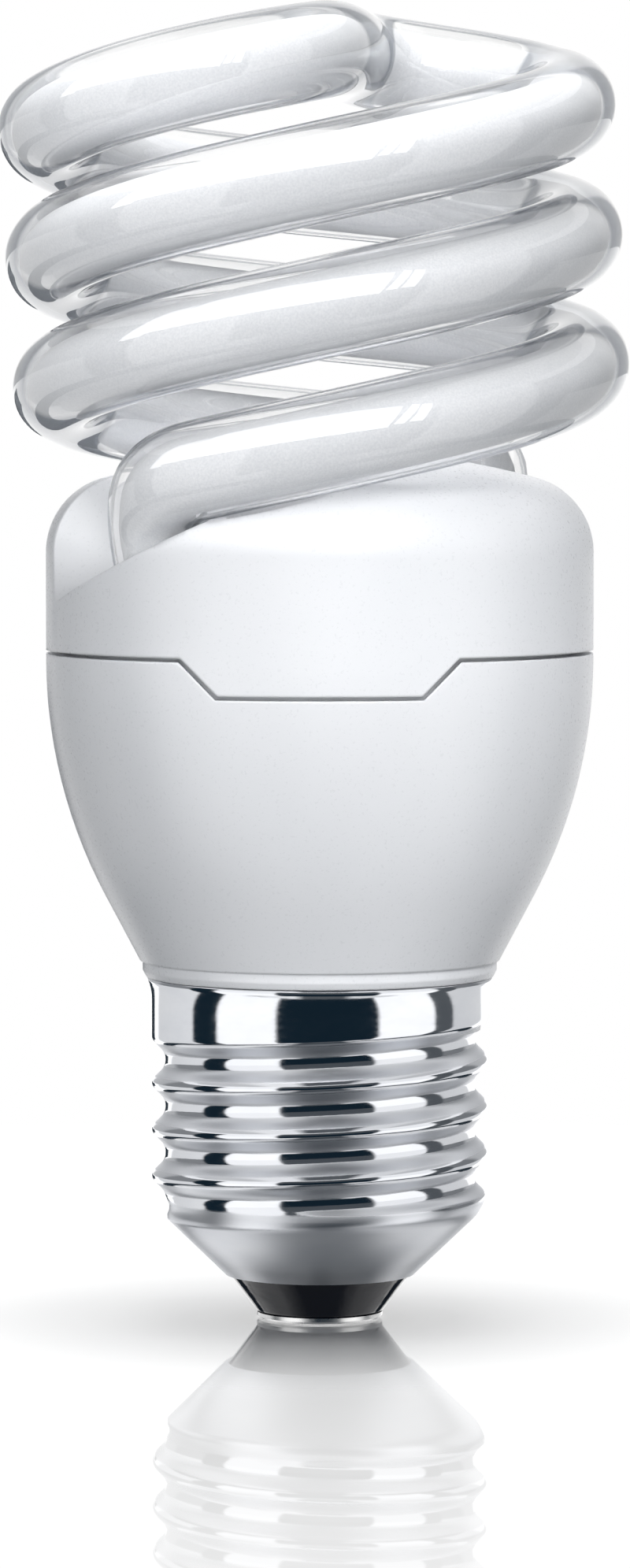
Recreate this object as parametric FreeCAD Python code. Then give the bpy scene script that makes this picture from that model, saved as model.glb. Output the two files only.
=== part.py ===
import FreeCAD, Part
import math
import os
from FreeCAD import Vector

# Spiral energy saving lamp, in millimetres.
# The origin is the centre of the contact's end face. +Z runs up the axis, and -Y is the front.

# Spiral tube
TUBE_R = 3.82
COIL_R = 20.14
COIL_LEAD = 20.0
COIL_TURN = 480.0
LOBE_Z = 93.4
BRIDGE_RISE = 5.2
BRIDGE_SWING = 82.0
BRIDGE_FLATTEN = 1.3
BRIDGE_OFFSET = (2.6, 3.0)
COIL_LEAN = 3.17
LEAN_PIVOT_Z = 75.0
LEG_ANGLE = 43.4
LEG_TOP_INSET = 2.1
LEG_TOP_RISE = 0.3
LEG_END_ROOM = 1.0
LEG_END_STANDOFF = 5.4
LEG_CLEARANCE = 0.3

# Housing
HOUSING_R = 21.27
HOUSING_WALL = 1.6
BARREL_TOP_Z = 51.5
CONE_TOP_Z = 33.0
CONE_OVERHANG = 0.22
COLLAR_TOP_Z = 28.0
COLLAR_OVERHANG = 0.7
COLLAR_CHAMFER = 0.25
DOME_START_Z = 59.7
DOME_EDGE_R = 6.0
DOME_EDGE_TURN = 75.0
SPLIT_Z = 52.2
SPLIT_GAP = 0.3
NOTCH_DEPTH = 2.8
NOTCH_HALF_WIDTH = 7.7
NOTCH_SLANT_WIDTH = 2.8
TONGUE_WALL = 0.8
TONGUE_CLEARANCE = 0.15
TONGUE_RISE = 1.0
TONGUE_ROOT = 3.0

# Scoops in the dome, where the legs go in
SCOOP_END_ANGLE = -163.0
SCOOP_SPAN = 80.0
SCOOP_ROOM = 4.3
SCOOP_SLOPE = 19.7
SCOOP_INWARD_SLOPE = 12.0
SCOOP_MID_ANGLE = -140.0
SCOOP_MID_Z = 58.65

# Screw cap, size E27
CAP_R = 13.1
CAP_SHEET = 0.4
CAP_TOP_Z = 26.7
CAP_LIP_FLARE = 0.4
CAP_LIP_HEIGHT = 0.9
CAP_FOOT_INSET = 0.9
CAP_FOOT_Z = 8.1
CAP_FOOT_TAPER = 1.2
CAP_CONE_INSET = 5.7
CAP_CONE_Z = 3.4
NECK_CLEARANCE = 0.15
NECK_WALL = 1.3
NECK_LENGTH = 4.1
SEAT_CLEARANCE = 0.05

# Contact and its glass
GLASS_SHOULDER = 0.25
GLASS_SWEEP = 0.35
CONTACT_R = 4.9
CONTACT_THICKNESS = 0.45
SHANK_R = 1.3
SHANK_BORE_R = 0.7
GLASS_TOP_Z = 7.2
SHANK_TOP_Z = 7.8

# Circuit board. The layout on it is drawn for this radius: a smaller board gets a smaller layout.
BOARD_Z = 43.0
LAYOUT_R = 18.47
BOARD_THICKNESS = 1.6
BOARD_CLEARANCE = 0.25
LEDGE_WIDTH = 1.2
LEDGE_HEIGHT = 1.4
LEAD_R = 0.3
LEAD_CLEARANCE = 0.1
LEAD_TAIL = 1.0
PIN_SIDE = 0.8
PIN_HEIGHT = 5.5
PIN_PLACES = ((15.4, 2.4), (15.4, -1.6))
PIN_LEAD_SPREAD = 1.0
PIN_WIRE_DROPS = (1.2, 2.4)
CEMENT_R = 6.0
CEMENT_THICKNESS = 2.5

# Components: place of the middle on the board, with its turn where it lies along the board, and sizes
CAN_PLACE = (0.0, 5.6)
CAN_R = 5.0
CAN_HEIGHT = 17.5
CAN_LEAD_PITCH = 5.0
CHOKE_PLACE = (-3.8, -5.0)
CHOKE_WIDTH = 12.0
CHOKE_HEIGHT = 11.0
CHOKE_DEPTH = 5.0
CHOKE_LEG = 3.0
CHOKE_YOKE = 2.0
CHOKE_LEAD_PITCH = 8.0
BOBBIN_WALL = 0.5
BOBBIN_DEPTH = 9.4
WINDING_INSET = 0.4
WINDING_EDGE_R = 1.0
TRANSISTOR_R = 2.3
TRANSISTOR_FLAT = 1.4
TRANSISTOR_HEIGHT = 4.6
TRANSISTOR_STANDOFF = 2.0
TRANSISTOR_PLACES = ((8.6, 3.6), (7.6, 9.8))
TRANSISTOR_LEAD_PITCH = 1.27
RING_R = 4.5
RING_HOLE_R = 2.5
RING_HEIGHT = 3.0
RING_LIFT = 0.9
RING_TURN_STEP = 20.0
DIODE_R = 1.35
DIODE_LENGTH = 5.2
DIODE_LEAD_PITCH = 8.0
DIODE_PLACES = ((-6.6, 7.0, 90.0), (0.0, 13.2, 0.0), (0.0, 16.1, 0.0), (-5.0, -13.2, 0.0))
RESISTOR_R = 1.1
RESISTOR_LENGTH = 6.0
RESISTOR_LEAD_PITCH = 8.6
RESISTOR_PLACES = ((4.2, -11.0, 90.0), (-12.2, -7.0, 90.0), (13.2, -5.0, 90.0))
BODY_LIFT = 0.3
FUSE_R = 1.8
FUSE_LENGTH = 9.0
FUSE_BOTTOM_Z = 12.0
FUSE_LEAD_REACH = 3.0
FUSE_LEAD_SLANT = 4.0
FUSE_BOARD_PLACE = (4.2, -4.7)
SLEEVE_WALL = 0.4
SLEEVE_OVERHANG = 1.0
SHELL_LEAD_PLACE = (-13.8, 0.0)
SHELL_LEAD_BEND_Z = 38.0
SHELL_LEAD_DROP = 3.0
SHELL_LEAD_SLANT = 1.0
SOLDER_R = 0.9
SOLDER_HEIGHT = 0.8

RESONANCE_PLACE = (8.5, -6.0)
RESONANCE_SIZE = (4.5, 9.6, 8.0)
RESONANCE_LEAD_PITCH = 7.5
FILTER_PLACE = (-10.6, 5.6)
FILTER_SIZE = (4.0, 8.0, 7.0)
FILTER_LEAD_PITCH = 5.0
FILM_EDGE_R = 0.8

# Sizes that follow from those above
COLLAR_R = CAP_R + COLLAR_OVERHANG
CAP_LIP_R = CAP_R + CAP_LIP_FLARE
CAP_FOOT_R = CAP_R - CAP_FOOT_INSET
CAP_CONE_R = CAP_R - CAP_CONE_INSET
NECK_R = CAP_R - CAP_SHEET - NECK_CLEARANCE
TONGUE_R = HOUSING_R - HOUSING_WALL - TONGUE_CLEARANCE
TONGUE_INNER_R = TONGUE_R - TONGUE_WALL
BOARD_R = TONGUE_INNER_R - BOARD_CLEARANCE
BOARD_FIT = min(1.0, BOARD_R / LAYOUT_R)
LEG_TOP_R = COIL_R - LEG_TOP_INSET
LEG_TOP_Z = DOME_START_Z + LEG_TOP_RISE
LEG_END_R = TONGUE_INNER_R - TUBE_R - LEG_END_ROOM
LEG_END_Z = BOARD_Z + BOARD_THICKNESS + LEG_END_STANDOFF
SCOOP_INNER_R = COIL_R - TUBE_R - SCOOP_ROOM

UP = Vector(0, 0, 1)
ORIGIN = Vector(0, 0, 0)
BEYOND = 60.0


def save(name, shape):
    """Write one piece to its own file."""
    shape.exportStep(f"parts/{name}.step")


def turned(outline):
    """Solid of revolution about the axis. A pair goes straight to (r, z); four numbers are an arc through a point."""
    points = [Vector(entry[-2], 0, entry[-1]) for entry in outline]
    edges = []
    for index, entry in enumerate(outline):
        start = points[index - 1]
        end = points[index]
        if len(entry) == 4:
            edges.append(Part.Arc(start, Vector(entry[0], 0, entry[1]), end).toShape())
        elif (end - start).Length > 1e-6:
            edges.append(Part.LineSegment(start, end).toShape())
    return Part.Face(Part.Wire(edges)).revolve(ORIGIN, UP, 360)


def rod(radius, bottom, top, place=(0.0, 0.0)):
    """Upright cylinder between two heights."""
    return Part.makeCylinder(radius, top - bottom, Vector(place[0], place[1], bottom))


def ring(inner, outer, bottom, top):
    """Upright tube about the axis."""
    return rod(outer, bottom, top).cut(rod(inner, bottom - 1, top + 1))


def block(place, width, length, bottom, top):
    """Upright box with its middle at a place."""
    corner = Vector(place[0] - width / 2, place[1] - length / 2, bottom)
    return Part.makeBox(width, length, top - bottom, corner)


def arc_from(start, direction, end):
    """Arc from start, leaving along direction, to end."""
    chord = end - start
    along = Vector(chord).normalize()
    turn = math.acos(max(-1.0, min(1.0, along.dot(direction))))
    if turn < 1e-6:
        return Part.LineSegment(start, end)
    side = (direction - along * along.dot(direction)).normalize()
    middle = (start + end) * 0.5 + side * (chord.Length / 2 * math.tan(turn / 2))
    return Part.Arc(start, middle, end)


def tangent_arcs(nodes):
    """Smooth path of arcs: two between each pair of nodes, which are points with directions."""
    edges = []
    for (start, leaving), (end, arriving) in zip(nodes, nodes[1:]):
        chord = end - start
        spread = 2 * (1 - leaving.dot(arriving))
        pull = chord.dot(leaving + arriving)
        if spread < 1e-9:
            reach = chord.dot(chord) / (2 * pull)
        else:
            reach = (math.sqrt(pull**2 + spread * chord.dot(chord)) - pull) / spread
        first = start + leaving * reach
        last = end - arriving * reach
        join = (first + last) * 0.5
        edges.append(arc_from(start, leaving, join).toShape())
        edges.append(arc_from(join, (join - first).normalize(), end).toShape())
    return edges


def swept(nodes, radius):
    """Round bar along a path of tangent arcs."""
    path = Part.Wire(tangent_arcs(nodes))
    start, direction = nodes[0]
    section = Part.Wire([Part.Circle(start, direction, radius).toShape()])
    return path.makePipeShell([section], True, False)


def wire(points, radius):
    """Thin round wire along straight runs, with mitred corners."""
    direction = (points[1] - points[0]).normalize()
    section = Part.Wire([Part.Circle(points[0], direction, radius).toShape()])
    return Part.makePolygon(points).makePipeShell([section], True, False, 1)


# Spiral tube


def bridge_nodes(side):
    """Points and directions of half the bridge, from its middle to the lobe at -X.

    The middle lies aside of the axis, so the half of the other strand, which is turned half a turn
    afterwards, is made with its side at -1.
    """
    swing = math.radians(BRIDGE_SWING)
    steps = 200

    def plan(share):
        radius = COIL_R * math.sqrt(max(0.0, 1 - share * share))
        angle = math.pi + swing * share
        return Vector(radius * math.cos(angle), radius * math.sin(angle), 0)

    line = [plan(1 - index / steps) for index in range(steps + 1)]
    travel = [0.0]
    for before, after in zip(line, line[1:]):
        travel.append(travel[-1] + (after - before).Length)

    def raised(index):
        fade = math.cos(math.pi / 2 * travel[index] / travel[-1])
        aside = Vector(side * BRIDGE_OFFSET[0], side * BRIDGE_OFFSET[1], 0) * fade**2
        return line[index] + aside + UP * (LOBE_Z + BRIDGE_RISE * fade**BRIDGE_FLATTEN)

    nodes = []
    for share in (0.0, 0.25, 0.5, 0.75):
        index = next(i for i, distance in enumerate(travel) if distance >= share * travel[-1])
        direction = (raised(index + 1) - raised(max(index - 1, 0))).normalize()
        nodes.append((raised(index), direction))
    middle, leaving = nodes[0]
    nodes[0] = (middle, Vector(leaving.x, leaving.y, 0).normalize())
    return nodes


def helix_nodes():
    """Points and directions of one strand, from the lobe at -X down to its leg."""
    count = round(COIL_TURN / 45)
    drop = COIL_LEAD / (2 * math.pi)
    nodes = []
    for index in range(count + 1):
        turn = math.radians(COIL_TURN * index / count)
        angle = math.pi - turn
        point = Vector(COIL_R * math.cos(angle), COIL_R * math.sin(angle), LOBE_Z - drop * turn)
        direction = Vector(COIL_R * math.sin(angle), -COIL_R * math.cos(angle), -drop)
        nodes.append((point, direction.normalize()))
    return nodes


def half_turned(nodes):
    """The same points and directions on the other strand, half a turn about the axis."""
    return [tuple(Vector(-vector.x, -vector.y, vector.z) for vector in node) for node in nodes]


def leaned(nodes):
    """The spiral stands a little out of true on its housing."""
    spin = FreeCAD.Rotation(Vector(0, 1, 0), -COIL_LEAN)
    pivot = Vector(0, 0, LEAN_PIVOT_Z)
    return [(pivot + spin.multVec(point - pivot), spin.multVec(direction)) for point, direction in nodes]


def at_leg(radius, height):
    """Point at the back leg's side of the axis."""
    angle = math.radians(LEG_ANGLE)
    return Vector(radius * math.cos(angle), radius * math.sin(angle), height)


def leg_nodes():
    """Points and directions of the back leg: after its knee it goes straight down into the housing."""
    top = at_leg(LEG_TOP_R, LEG_TOP_Z)
    foot = at_leg(LEG_END_R, LEG_END_Z)
    direction = (foot - top).normalize()
    return [(top, direction), (foot, direction)]


def tube_strands():
    """The two strands, each from the bridge's middle down: the back leg's first, then the front leg's."""
    back = leaned(bridge_nodes(1) + helix_nodes()) + leg_nodes()
    front = leaned(half_turned(bridge_nodes(-1) + helix_nodes())) + half_turned(leg_nodes())
    return back, front


def reversed_nodes(nodes):
    """The same path, walked the other way."""
    return [(point, direction * -1) for point, direction in reversed(nodes)]


def make_spiral_tube(strands):
    """The whole glass tube, sealed at both ends."""
    first, second = strands
    return swept(reversed_nodes(first)[:-1] + second, TUBE_R)


def end_bars(strands, count, radius):
    """Bars along the last points of each strand: two points for the legs alone, more for the strands over them."""
    return [swept(nodes[-count:], radius) for nodes in strands]


# Housing


def barrel_curve():
    """Curve radius of the barrel and how far it turns, so that the cone under it runs out at the collar."""
    height = BARREL_TOP_Z - CONE_TOP_Z
    cone = CONE_TOP_Z - COLLAR_TOP_Z
    drop = HOUSING_R - COLLAR_R - CONE_OVERHANG
    half_turn_tangent = 0.0
    for _ in range(40):
        half_turn_tangent = drop / (height + 2 * cone / (1 - half_turn_tangent**2))
    turn = 2 * math.atan(half_turn_tangent)
    return height / math.sin(turn), turn


def housing_form(inset):
    """Outer form of the closed housing, or its hollow when inset by the wall."""
    curve_r, cone_turn = barrel_curve()
    barrel_r = curve_r - inset
    centre_r = HOUSING_R - curve_r
    half_turn = cone_turn / 2
    cone_top = (centre_r + barrel_r * math.cos(cone_turn), BARREL_TOP_Z - barrel_r * math.sin(cone_turn))
    barrel_mid = (centre_r + barrel_r * math.cos(half_turn), BARREL_TOP_Z - barrel_r * math.sin(half_turn))
    cone_bottom_r = cone_top[0] - (cone_top[1] - COLLAR_TOP_Z) * math.tan(cone_turn)
    edge_r = DOME_EDGE_R - inset
    edge_centre_r = HOUSING_R - DOME_EDGE_R
    edge_turn = math.radians(DOME_EDGE_TURN)
    edge_mid = (edge_centre_r + edge_r * math.cos(edge_turn / 2), DOME_START_Z + edge_r * math.sin(edge_turn / 2))
    edge_top = (edge_centre_r + edge_r * math.cos(edge_turn), DOME_START_Z + edge_r * math.sin(edge_turn))
    rise = math.pi / 2 - edge_turn
    crown_r = (edge_centre_r + DOME_EDGE_R * math.cos(edge_turn)) / math.sin(rise) - inset
    crown_centre_z = edge_top[1] - crown_r * math.cos(rise)
    crown_mid = (crown_r * math.sin(rise / 2), crown_centre_z + crown_r * math.cos(rise / 2))
    crown_top = (0.0, crown_centre_z + crown_r)
    wall_r = HOUSING_R - inset
    upper = [
        cone_top,
        barrel_mid + (wall_r, BARREL_TOP_Z),
        (wall_r, DOME_START_Z),
        edge_mid + edge_top,
        crown_mid + crown_top,
    ]
    neck_bottom = CAP_TOP_Z - NECK_LENGTH
    if inset:
        neck_r = NECK_R - NECK_WALL
        lower = [(0.0, neck_bottom - 1), (neck_r, neck_bottom - 1), (neck_r, COLLAR_TOP_Z - 0.5)]
        lower.append((cone_bottom_r, COLLAR_TOP_Z))
        return turned(lower + upper)
    collar_bottom = CAP_TOP_Z + SEAT_CLEARANCE
    lower = [
        (0.0, neck_bottom),
        (NECK_R, neck_bottom),
        (NECK_R, collar_bottom),
        (COLLAR_R - COLLAR_CHAMFER, collar_bottom),
        (COLLAR_R, collar_bottom + 2 * COLLAR_CHAMFER),
        (COLLAR_R, COLLAR_TOP_Z),
        (cone_bottom_r, COLLAR_TOP_Z),
    ]
    return turned(lower + upper)


def split_zone(shift, upwards):
    """Everything above or below the split, whose line steps down in a notch at the front and the back."""
    side = NOTCH_HALF_WIDTH + NOTCH_SLANT_WIDTH
    slant = math.atan2(NOTCH_DEPTH, NOTCH_SLANT_WIDTH)
    widen = shift * math.tan(slant / 2)
    high = SPLIT_Z - shift
    low = high - NOTCH_DEPTH
    limit = SPLIT_Z + BEYOND if upwards else SPLIT_Z - BEYOND
    corners = [
        (-BEYOND, high),
        (-side - widen, high),
        (-NOTCH_HALF_WIDTH - widen, low),
        (NOTCH_HALF_WIDTH + widen, low),
        (side + widen, high),
        (BEYOND, high),
        (BEYOND, limit),
        (-BEYOND, limit),
    ]
    outline = Part.makePolygon([Vector(x, -BEYOND, z) for x, z in corners + corners[:1]])
    return Part.Face(outline).extrude(Vector(0, 2 * BEYOND, 0))


def above_scoop_floor(depth):
    """Everything above a plane that lies under the first scoop's sloping floor by a depth."""
    space = Part.makeBox(4 * BEYOND, 4 * BEYOND, 2 * BEYOND, Vector(-2 * BEYOND, -2 * BEYOND, 0))
    space.rotate(ORIGIN, Vector(1, 0, 0), SCOOP_SLOPE)
    space.rotate(ORIGIN, Vector(0, 1, 0), SCOOP_INWARD_SLOPE)
    space.rotate(ORIGIN, UP, SCOOP_MID_ANGLE)
    steepness = math.cos(math.radians(SCOOP_SLOPE)) * math.cos(math.radians(SCOOP_INWARD_SLOPE))
    inner_rise = HOUSING_R * math.tan(math.radians(SCOOP_INWARD_SLOPE))
    space.translate(UP * (SCOOP_MID_Z + inner_rise - depth / steepness))
    return space


def scoop(wall):
    """Space of one scoop over its sloping floor, grown by a wall when it shapes the hollow below."""
    grow = math.degrees(wall / SCOOP_INNER_R)
    sector = Part.makeCylinder(BEYOND, BEYOND, Vector(0, 0, 0), UP, SCOOP_SPAN + 2 * grow)
    sector = sector.cut(rod(SCOOP_INNER_R - wall, -1, BEYOND + 1))
    sector.translate(UP * (SCOOP_MID_Z - BEYOND / 2))
    sector.rotate(ORIGIN, UP, SCOOP_END_ANGLE - grow)
    return sector.common(above_scoop_floor(wall))


def with_twin(shape):
    """A shape at the front leg, and its twin half a turn on, at the back leg."""
    twin = shape.copy()
    twin.rotate(ORIGIN, UP, 180)
    return [shape, twin]


def holder_hollow():
    """Hollow of the housing under the dome and the scoops."""
    hollow = housing_form(HOUSING_WALL)
    for space in with_twin(scoop(HOUSING_WALL)):
        hollow = hollow.cut(space)
    return hollow


def make_tube_holder(strands):
    """Upper half of the housing, with a hole for each leg and a trough under the strand that comes down to it."""
    form = housing_form(0.0)
    for space in with_twin(scoop(0.0)):
        form = form.cut(space)
    holder = form.cut(holder_hollow()).common(split_zone(0.0, True))
    for bar in end_bars(strands, 5, TUBE_R + LEG_CLEARANCE):
        holder = holder.cut(bar)
    return holder


def make_lower_housing(strands):
    """Lower half of the housing, with the tongue that enters the upper half and the ledge for the board."""
    shell = housing_form(0.0).cut(housing_form(HOUSING_WALL)).common(split_zone(SPLIT_GAP, False))
    notch_z = SPLIT_Z - SPLIT_GAP - NOTCH_DEPTH
    tongue = ring(TONGUE_INNER_R, TONGUE_R, notch_z - TONGUE_ROOT, SPLIT_Z + TONGUE_RISE)
    root = ring(TONGUE_INNER_R, HOUSING_R - HOUSING_WALL / 2, notch_z - TONGUE_ROOT, notch_z - 1)
    ledge = rod(HOUSING_R, BOARD_Z - LEDGE_HEIGHT, BOARD_Z).common(housing_form(HOUSING_WALL / 2))
    ledge = ledge.cut(rod(BOARD_R - LEDGE_WIDTH, BOARD_Z - LEDGE_HEIGHT - 1, BOARD_Z + 1))
    housing = shell.multiFuse([tongue, root, ledge]).removeSplitter()
    for bar in end_bars(strands, 2, TUBE_R + LEG_CLEARANCE):
        housing = housing.cut(bar)
    return housing


# Cap


def make_screw_shell():
    """Sheet metal shell: a flared lip, the threaded wall and the cone at the foot."""
    outer = [
        (CAP_LIP_R, CAP_TOP_Z),
        (CAP_R, CAP_TOP_Z - CAP_LIP_HEIGHT),
        (CAP_R, CAP_FOOT_Z + CAP_FOOT_TAPER),
        (CAP_FOOT_R, CAP_FOOT_Z),
        (CAP_CONE_R, CAP_CONE_Z),
    ]
    cone_turn = math.atan2(CAP_FOOT_Z - CAP_CONE_Z, CAP_FOOT_R - CAP_CONE_R)
    foot_inset = CAP_SHEET * math.tan(cone_turn / 2)
    inner = [
        (CAP_CONE_R - CAP_SHEET * math.sin(cone_turn), CAP_CONE_Z + CAP_SHEET * math.cos(cone_turn)),
        (CAP_FOOT_R - CAP_SHEET, CAP_FOOT_Z + foot_inset),
        (CAP_R - CAP_SHEET, CAP_FOOT_Z + CAP_FOOT_TAPER + foot_inset / 2),
        (CAP_R - CAP_SHEET, CAP_TOP_Z - CAP_LIP_HEIGHT),
        (CAP_LIP_R - CAP_SHEET, CAP_TOP_Z),
    ]
    return turned(outer + inner)


def make_glass_insulator():
    """Black glass in the foot of the cap, with a hollow sweep down to the contact."""
    gap = CAP_SHEET + SEAT_CLEARANCE
    slope = (CAP_FOOT_R - CAP_CONE_R) / (CAP_FOOT_Z - CAP_CONE_Z)
    turn = math.atan(slope)
    rim_r = CAP_CONE_R - gap / math.cos(turn)
    top_r = rim_r + (GLASS_TOP_Z - CAP_CONE_Z) * slope
    throat_z = CAP_CONE_Z - SEAT_CLEARANCE
    sweep_r = (CONTACT_R + CAP_CONE_R) / 2 - GLASS_SHOULDER
    sweep_z = (CONTACT_THICKNESS + throat_z) / 2 + GLASS_SWEEP
    bore_r = SHANK_R + SEAT_CLEARANCE
    return turned([
        (bore_r, GLASS_TOP_Z),
        (top_r, GLASS_TOP_Z),
        (rim_r, CAP_CONE_Z),
        (rim_r, throat_z),
        (CAP_CONE_R, throat_z),
        (sweep_r, sweep_z, CONTACT_R, CONTACT_THICKNESS),
        (bore_r, CONTACT_THICKNESS),
    ])


def make_centre_contact():
    """Metal disc with a hollow shank through the glass."""
    edge = CONTACT_THICKNESS / 3
    return turned([
        (SHANK_BORE_R, SHANK_TOP_Z),
        (SHANK_R, SHANK_TOP_Z),
        (SHANK_R, CONTACT_THICKNESS),
        (CONTACT_R, CONTACT_THICKNESS),
        (CONTACT_R, edge),
        (CONTACT_R - edge, 0.0),
        (0.0, 0.0),
        (0.0, CONTACT_THICKNESS),
        (SHANK_BORE_R, CONTACT_THICKNESS),
    ])


# Electronics


def lead_places(place, pitch, turn=0.0):
    """Places of a component's two leads, on a line through its middle."""
    reach = Vector(pitch / 2 * math.cos(turn), pitch / 2 * math.sin(turn), 0)
    return [(place[0] + reach.x, place[1] + reach.y), (place[0] - reach.x, place[1] - reach.y)]


def transistor_leads(place):
    """Places of a transistor's three leads."""
    return [(place[0], place[1] + step * TRANSISTOR_LEAD_PITCH) for step in (-1, 0, 1)]


def fitted(shape):
    """A piece of the board's layout, brought to the size of the board."""
    return shape.scale(BOARD_FIT, Vector(0, 0, BOARD_Z))


def hole_places():
    """Every place where a lead goes through the board."""
    places = lead_places(CAN_PLACE, CAN_LEAD_PITCH)
    places += lead_places(CHOKE_PLACE, CHOKE_LEAD_PITCH)
    places += lead_places(RESONANCE_PLACE, RESONANCE_LEAD_PITCH, math.pi / 2)
    places += lead_places(FILTER_PLACE, FILTER_LEAD_PITCH, math.pi / 2)
    for place in TRANSISTOR_PLACES:
        places += transistor_leads(place)
    for x, y, turn in DIODE_PLACES:
        places += lead_places((x, y), DIODE_LEAD_PITCH, math.radians(turn))
    for x, y, turn in RESISTOR_PLACES:
        places += lead_places((x, y), RESISTOR_LEAD_PITCH, math.radians(turn))
    places += [FUSE_BOARD_PLACE, SHELL_LEAD_PLACE]
    return places


def leads_through_board(places, bottom=BOARD_Z):
    """Straight leads through the board, from a height under it."""
    top = BOARD_Z + BOARD_THICKNESS + LEAD_TAIL
    return [rod(LEAD_R, bottom, top, place) for place in places]


def make_circuit_board():
    """Round board, drilled for every lead and pin."""
    top = BOARD_Z + BOARD_THICKNESS
    board = rod(BOARD_R / BOARD_FIT, BOARD_Z, top)
    drills = [rod(LEAD_R + LEAD_CLEARANCE, BOARD_Z - 1, top + 1, place) for place in hole_places()]
    side = PIN_SIDE + 2 * LEAD_CLEARANCE
    pins = with_twin(Part.makeCompound([block(place, side, side, BOARD_Z - 1, top + 1) for place in PIN_PLACES]))
    return board.cut(Part.makeCompound(drills)).cut(Part.makeCompound(pins))


def make_can_capacitor():
    """Can with a rolled groove near its rubber end, hanging under the board."""
    groove_r = CAN_R - 0.5
    groove_z = BOARD_Z - 2.0
    bottom = BOARD_Z - CAN_HEIGHT
    can = turned([
        (0.0, bottom),
        (CAN_R - 0.5, bottom),
        (CAN_R, bottom + 0.5),
        (CAN_R, groove_z - 0.8),
        (groove_r, groove_z),
        (CAN_R, groove_z + 0.8),
        (CAN_R, BOARD_Z - 0.3),
        (CAN_R - 0.3, BOARD_Z),
        (0.0, BOARD_Z),
    ])
    can.translate(Vector(CAN_PLACE[0], CAN_PLACE[1], 0))
    return can.multiFuse(leads_through_board(lead_places(CAN_PLACE, CAN_LEAD_PITCH)))


def make_choke():
    """Core, bobbin and winding of the choke, hanging under the board."""
    top = BOARD_Z - BOBBIN_WALL
    bottom = top - CHOKE_HEIGHT
    window = (CHOKE_WIDTH - CHOKE_LEG) / 2 - CHOKE_YOKE
    reach = CHOKE_LEG / 2 + window / 2
    core = block(CHOKE_PLACE, CHOKE_WIDTH, CHOKE_DEPTH, bottom, top)
    for side in (-1, 1):
        place = (CHOKE_PLACE[0] + side * reach, CHOKE_PLACE[1])
        core = core.cut(block(place, window, CHOKE_DEPTH + 2, bottom + CHOKE_YOKE, top - CHOKE_YOKE))
    low = bottom + CHOKE_YOKE + SEAT_CLEARANCE
    high = top - CHOKE_YOKE - SEAT_CLEARANCE
    hole = (CHOKE_LEG + 2 * SEAT_CLEARANCE, CHOKE_DEPTH + 2 * SEAT_CLEARANCE)
    flange_width = CHOKE_LEG + 2 * window - 2 * SEAT_CLEARANCE
    sleeve = (hole[0] + 2 * BOBBIN_WALL, hole[1] + 2 * BOBBIN_WALL)
    bobbin = block(CHOKE_PLACE, sleeve[0], sleeve[1], low, high)
    for flange_bottom in (low, high - BOBBIN_WALL):
        flange_top = flange_bottom + BOBBIN_WALL
        bobbin = bobbin.fuse(block(CHOKE_PLACE, flange_width, BOBBIN_DEPTH, flange_bottom, flange_top))
    base_depth = BOBBIN_DEPTH - CHOKE_DEPTH - 2 * SEAT_CLEARANCE
    for side in (-1, 1):
        place_y = CHOKE_PLACE[1] + side * (CHOKE_DEPTH / 2 + SEAT_CLEARANCE + base_depth / 4)
        foot = block((CHOKE_PLACE[0], place_y), flange_width, base_depth / 2, high - BOBBIN_WALL, BOARD_Z)
        bobbin = bobbin.fuse(foot)
    bobbin = bobbin.cut(block(CHOKE_PLACE, hole[0], hole[1], low - 1, high + 1))
    winding_low = low + BOBBIN_WALL + SEAT_CLEARANCE
    winding_high = high - BOBBIN_WALL - SEAT_CLEARANCE
    winding = block(CHOKE_PLACE, flange_width - WINDING_INSET, BOBBIN_DEPTH - WINDING_INSET, winding_low, winding_high)
    upright = [edge for edge in winding.Edges if abs(edge.Vertexes[0].Z - edge.Vertexes[1].Z) > 1]
    winding = winding.makeFillet(WINDING_EDGE_R, upright)
    inner = (sleeve[0] + 2 * SEAT_CLEARANCE, sleeve[1] + 2 * SEAT_CLEARANCE)
    winding = winding.cut(block(CHOKE_PLACE, inner[0], inner[1], winding_low - 1, winding_high + 1))
    return {"choke_core": core, "choke_bobbin": bobbin.removeSplitter(), "choke_winding": winding}


def make_film_capacitor(place, size, pitch):
    """Rounded block with two leads, hanging under the board."""
    width, length, height = size
    body = block(place, width, length, BOARD_Z - height, BOARD_Z)
    upright = [edge for edge in body.Edges if abs(edge.Vertexes[0].Z - edge.Vertexes[1].Z) > 1]
    body = body.makeFillet(FILM_EDGE_R, upright)
    return body.multiFuse(leads_through_board(lead_places(place, pitch, math.pi / 2)))


def make_transistor(place):
    """Round plastic body with a flat, on three leads."""
    top = BOARD_Z - TRANSISTOR_STANDOFF
    body = rod(TRANSISTOR_R, top - TRANSISTOR_HEIGHT, top, place)
    cut_place = (place[0] + TRANSISTOR_FLAT + TRANSISTOR_R, place[1])
    body = body.cut(block(cut_place, 2 * TRANSISTOR_R, 3 * TRANSISTOR_R, 0, BOARD_Z))
    return body.multiFuse(leads_through_board(transistor_leads(place), top - 0.5))


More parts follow.
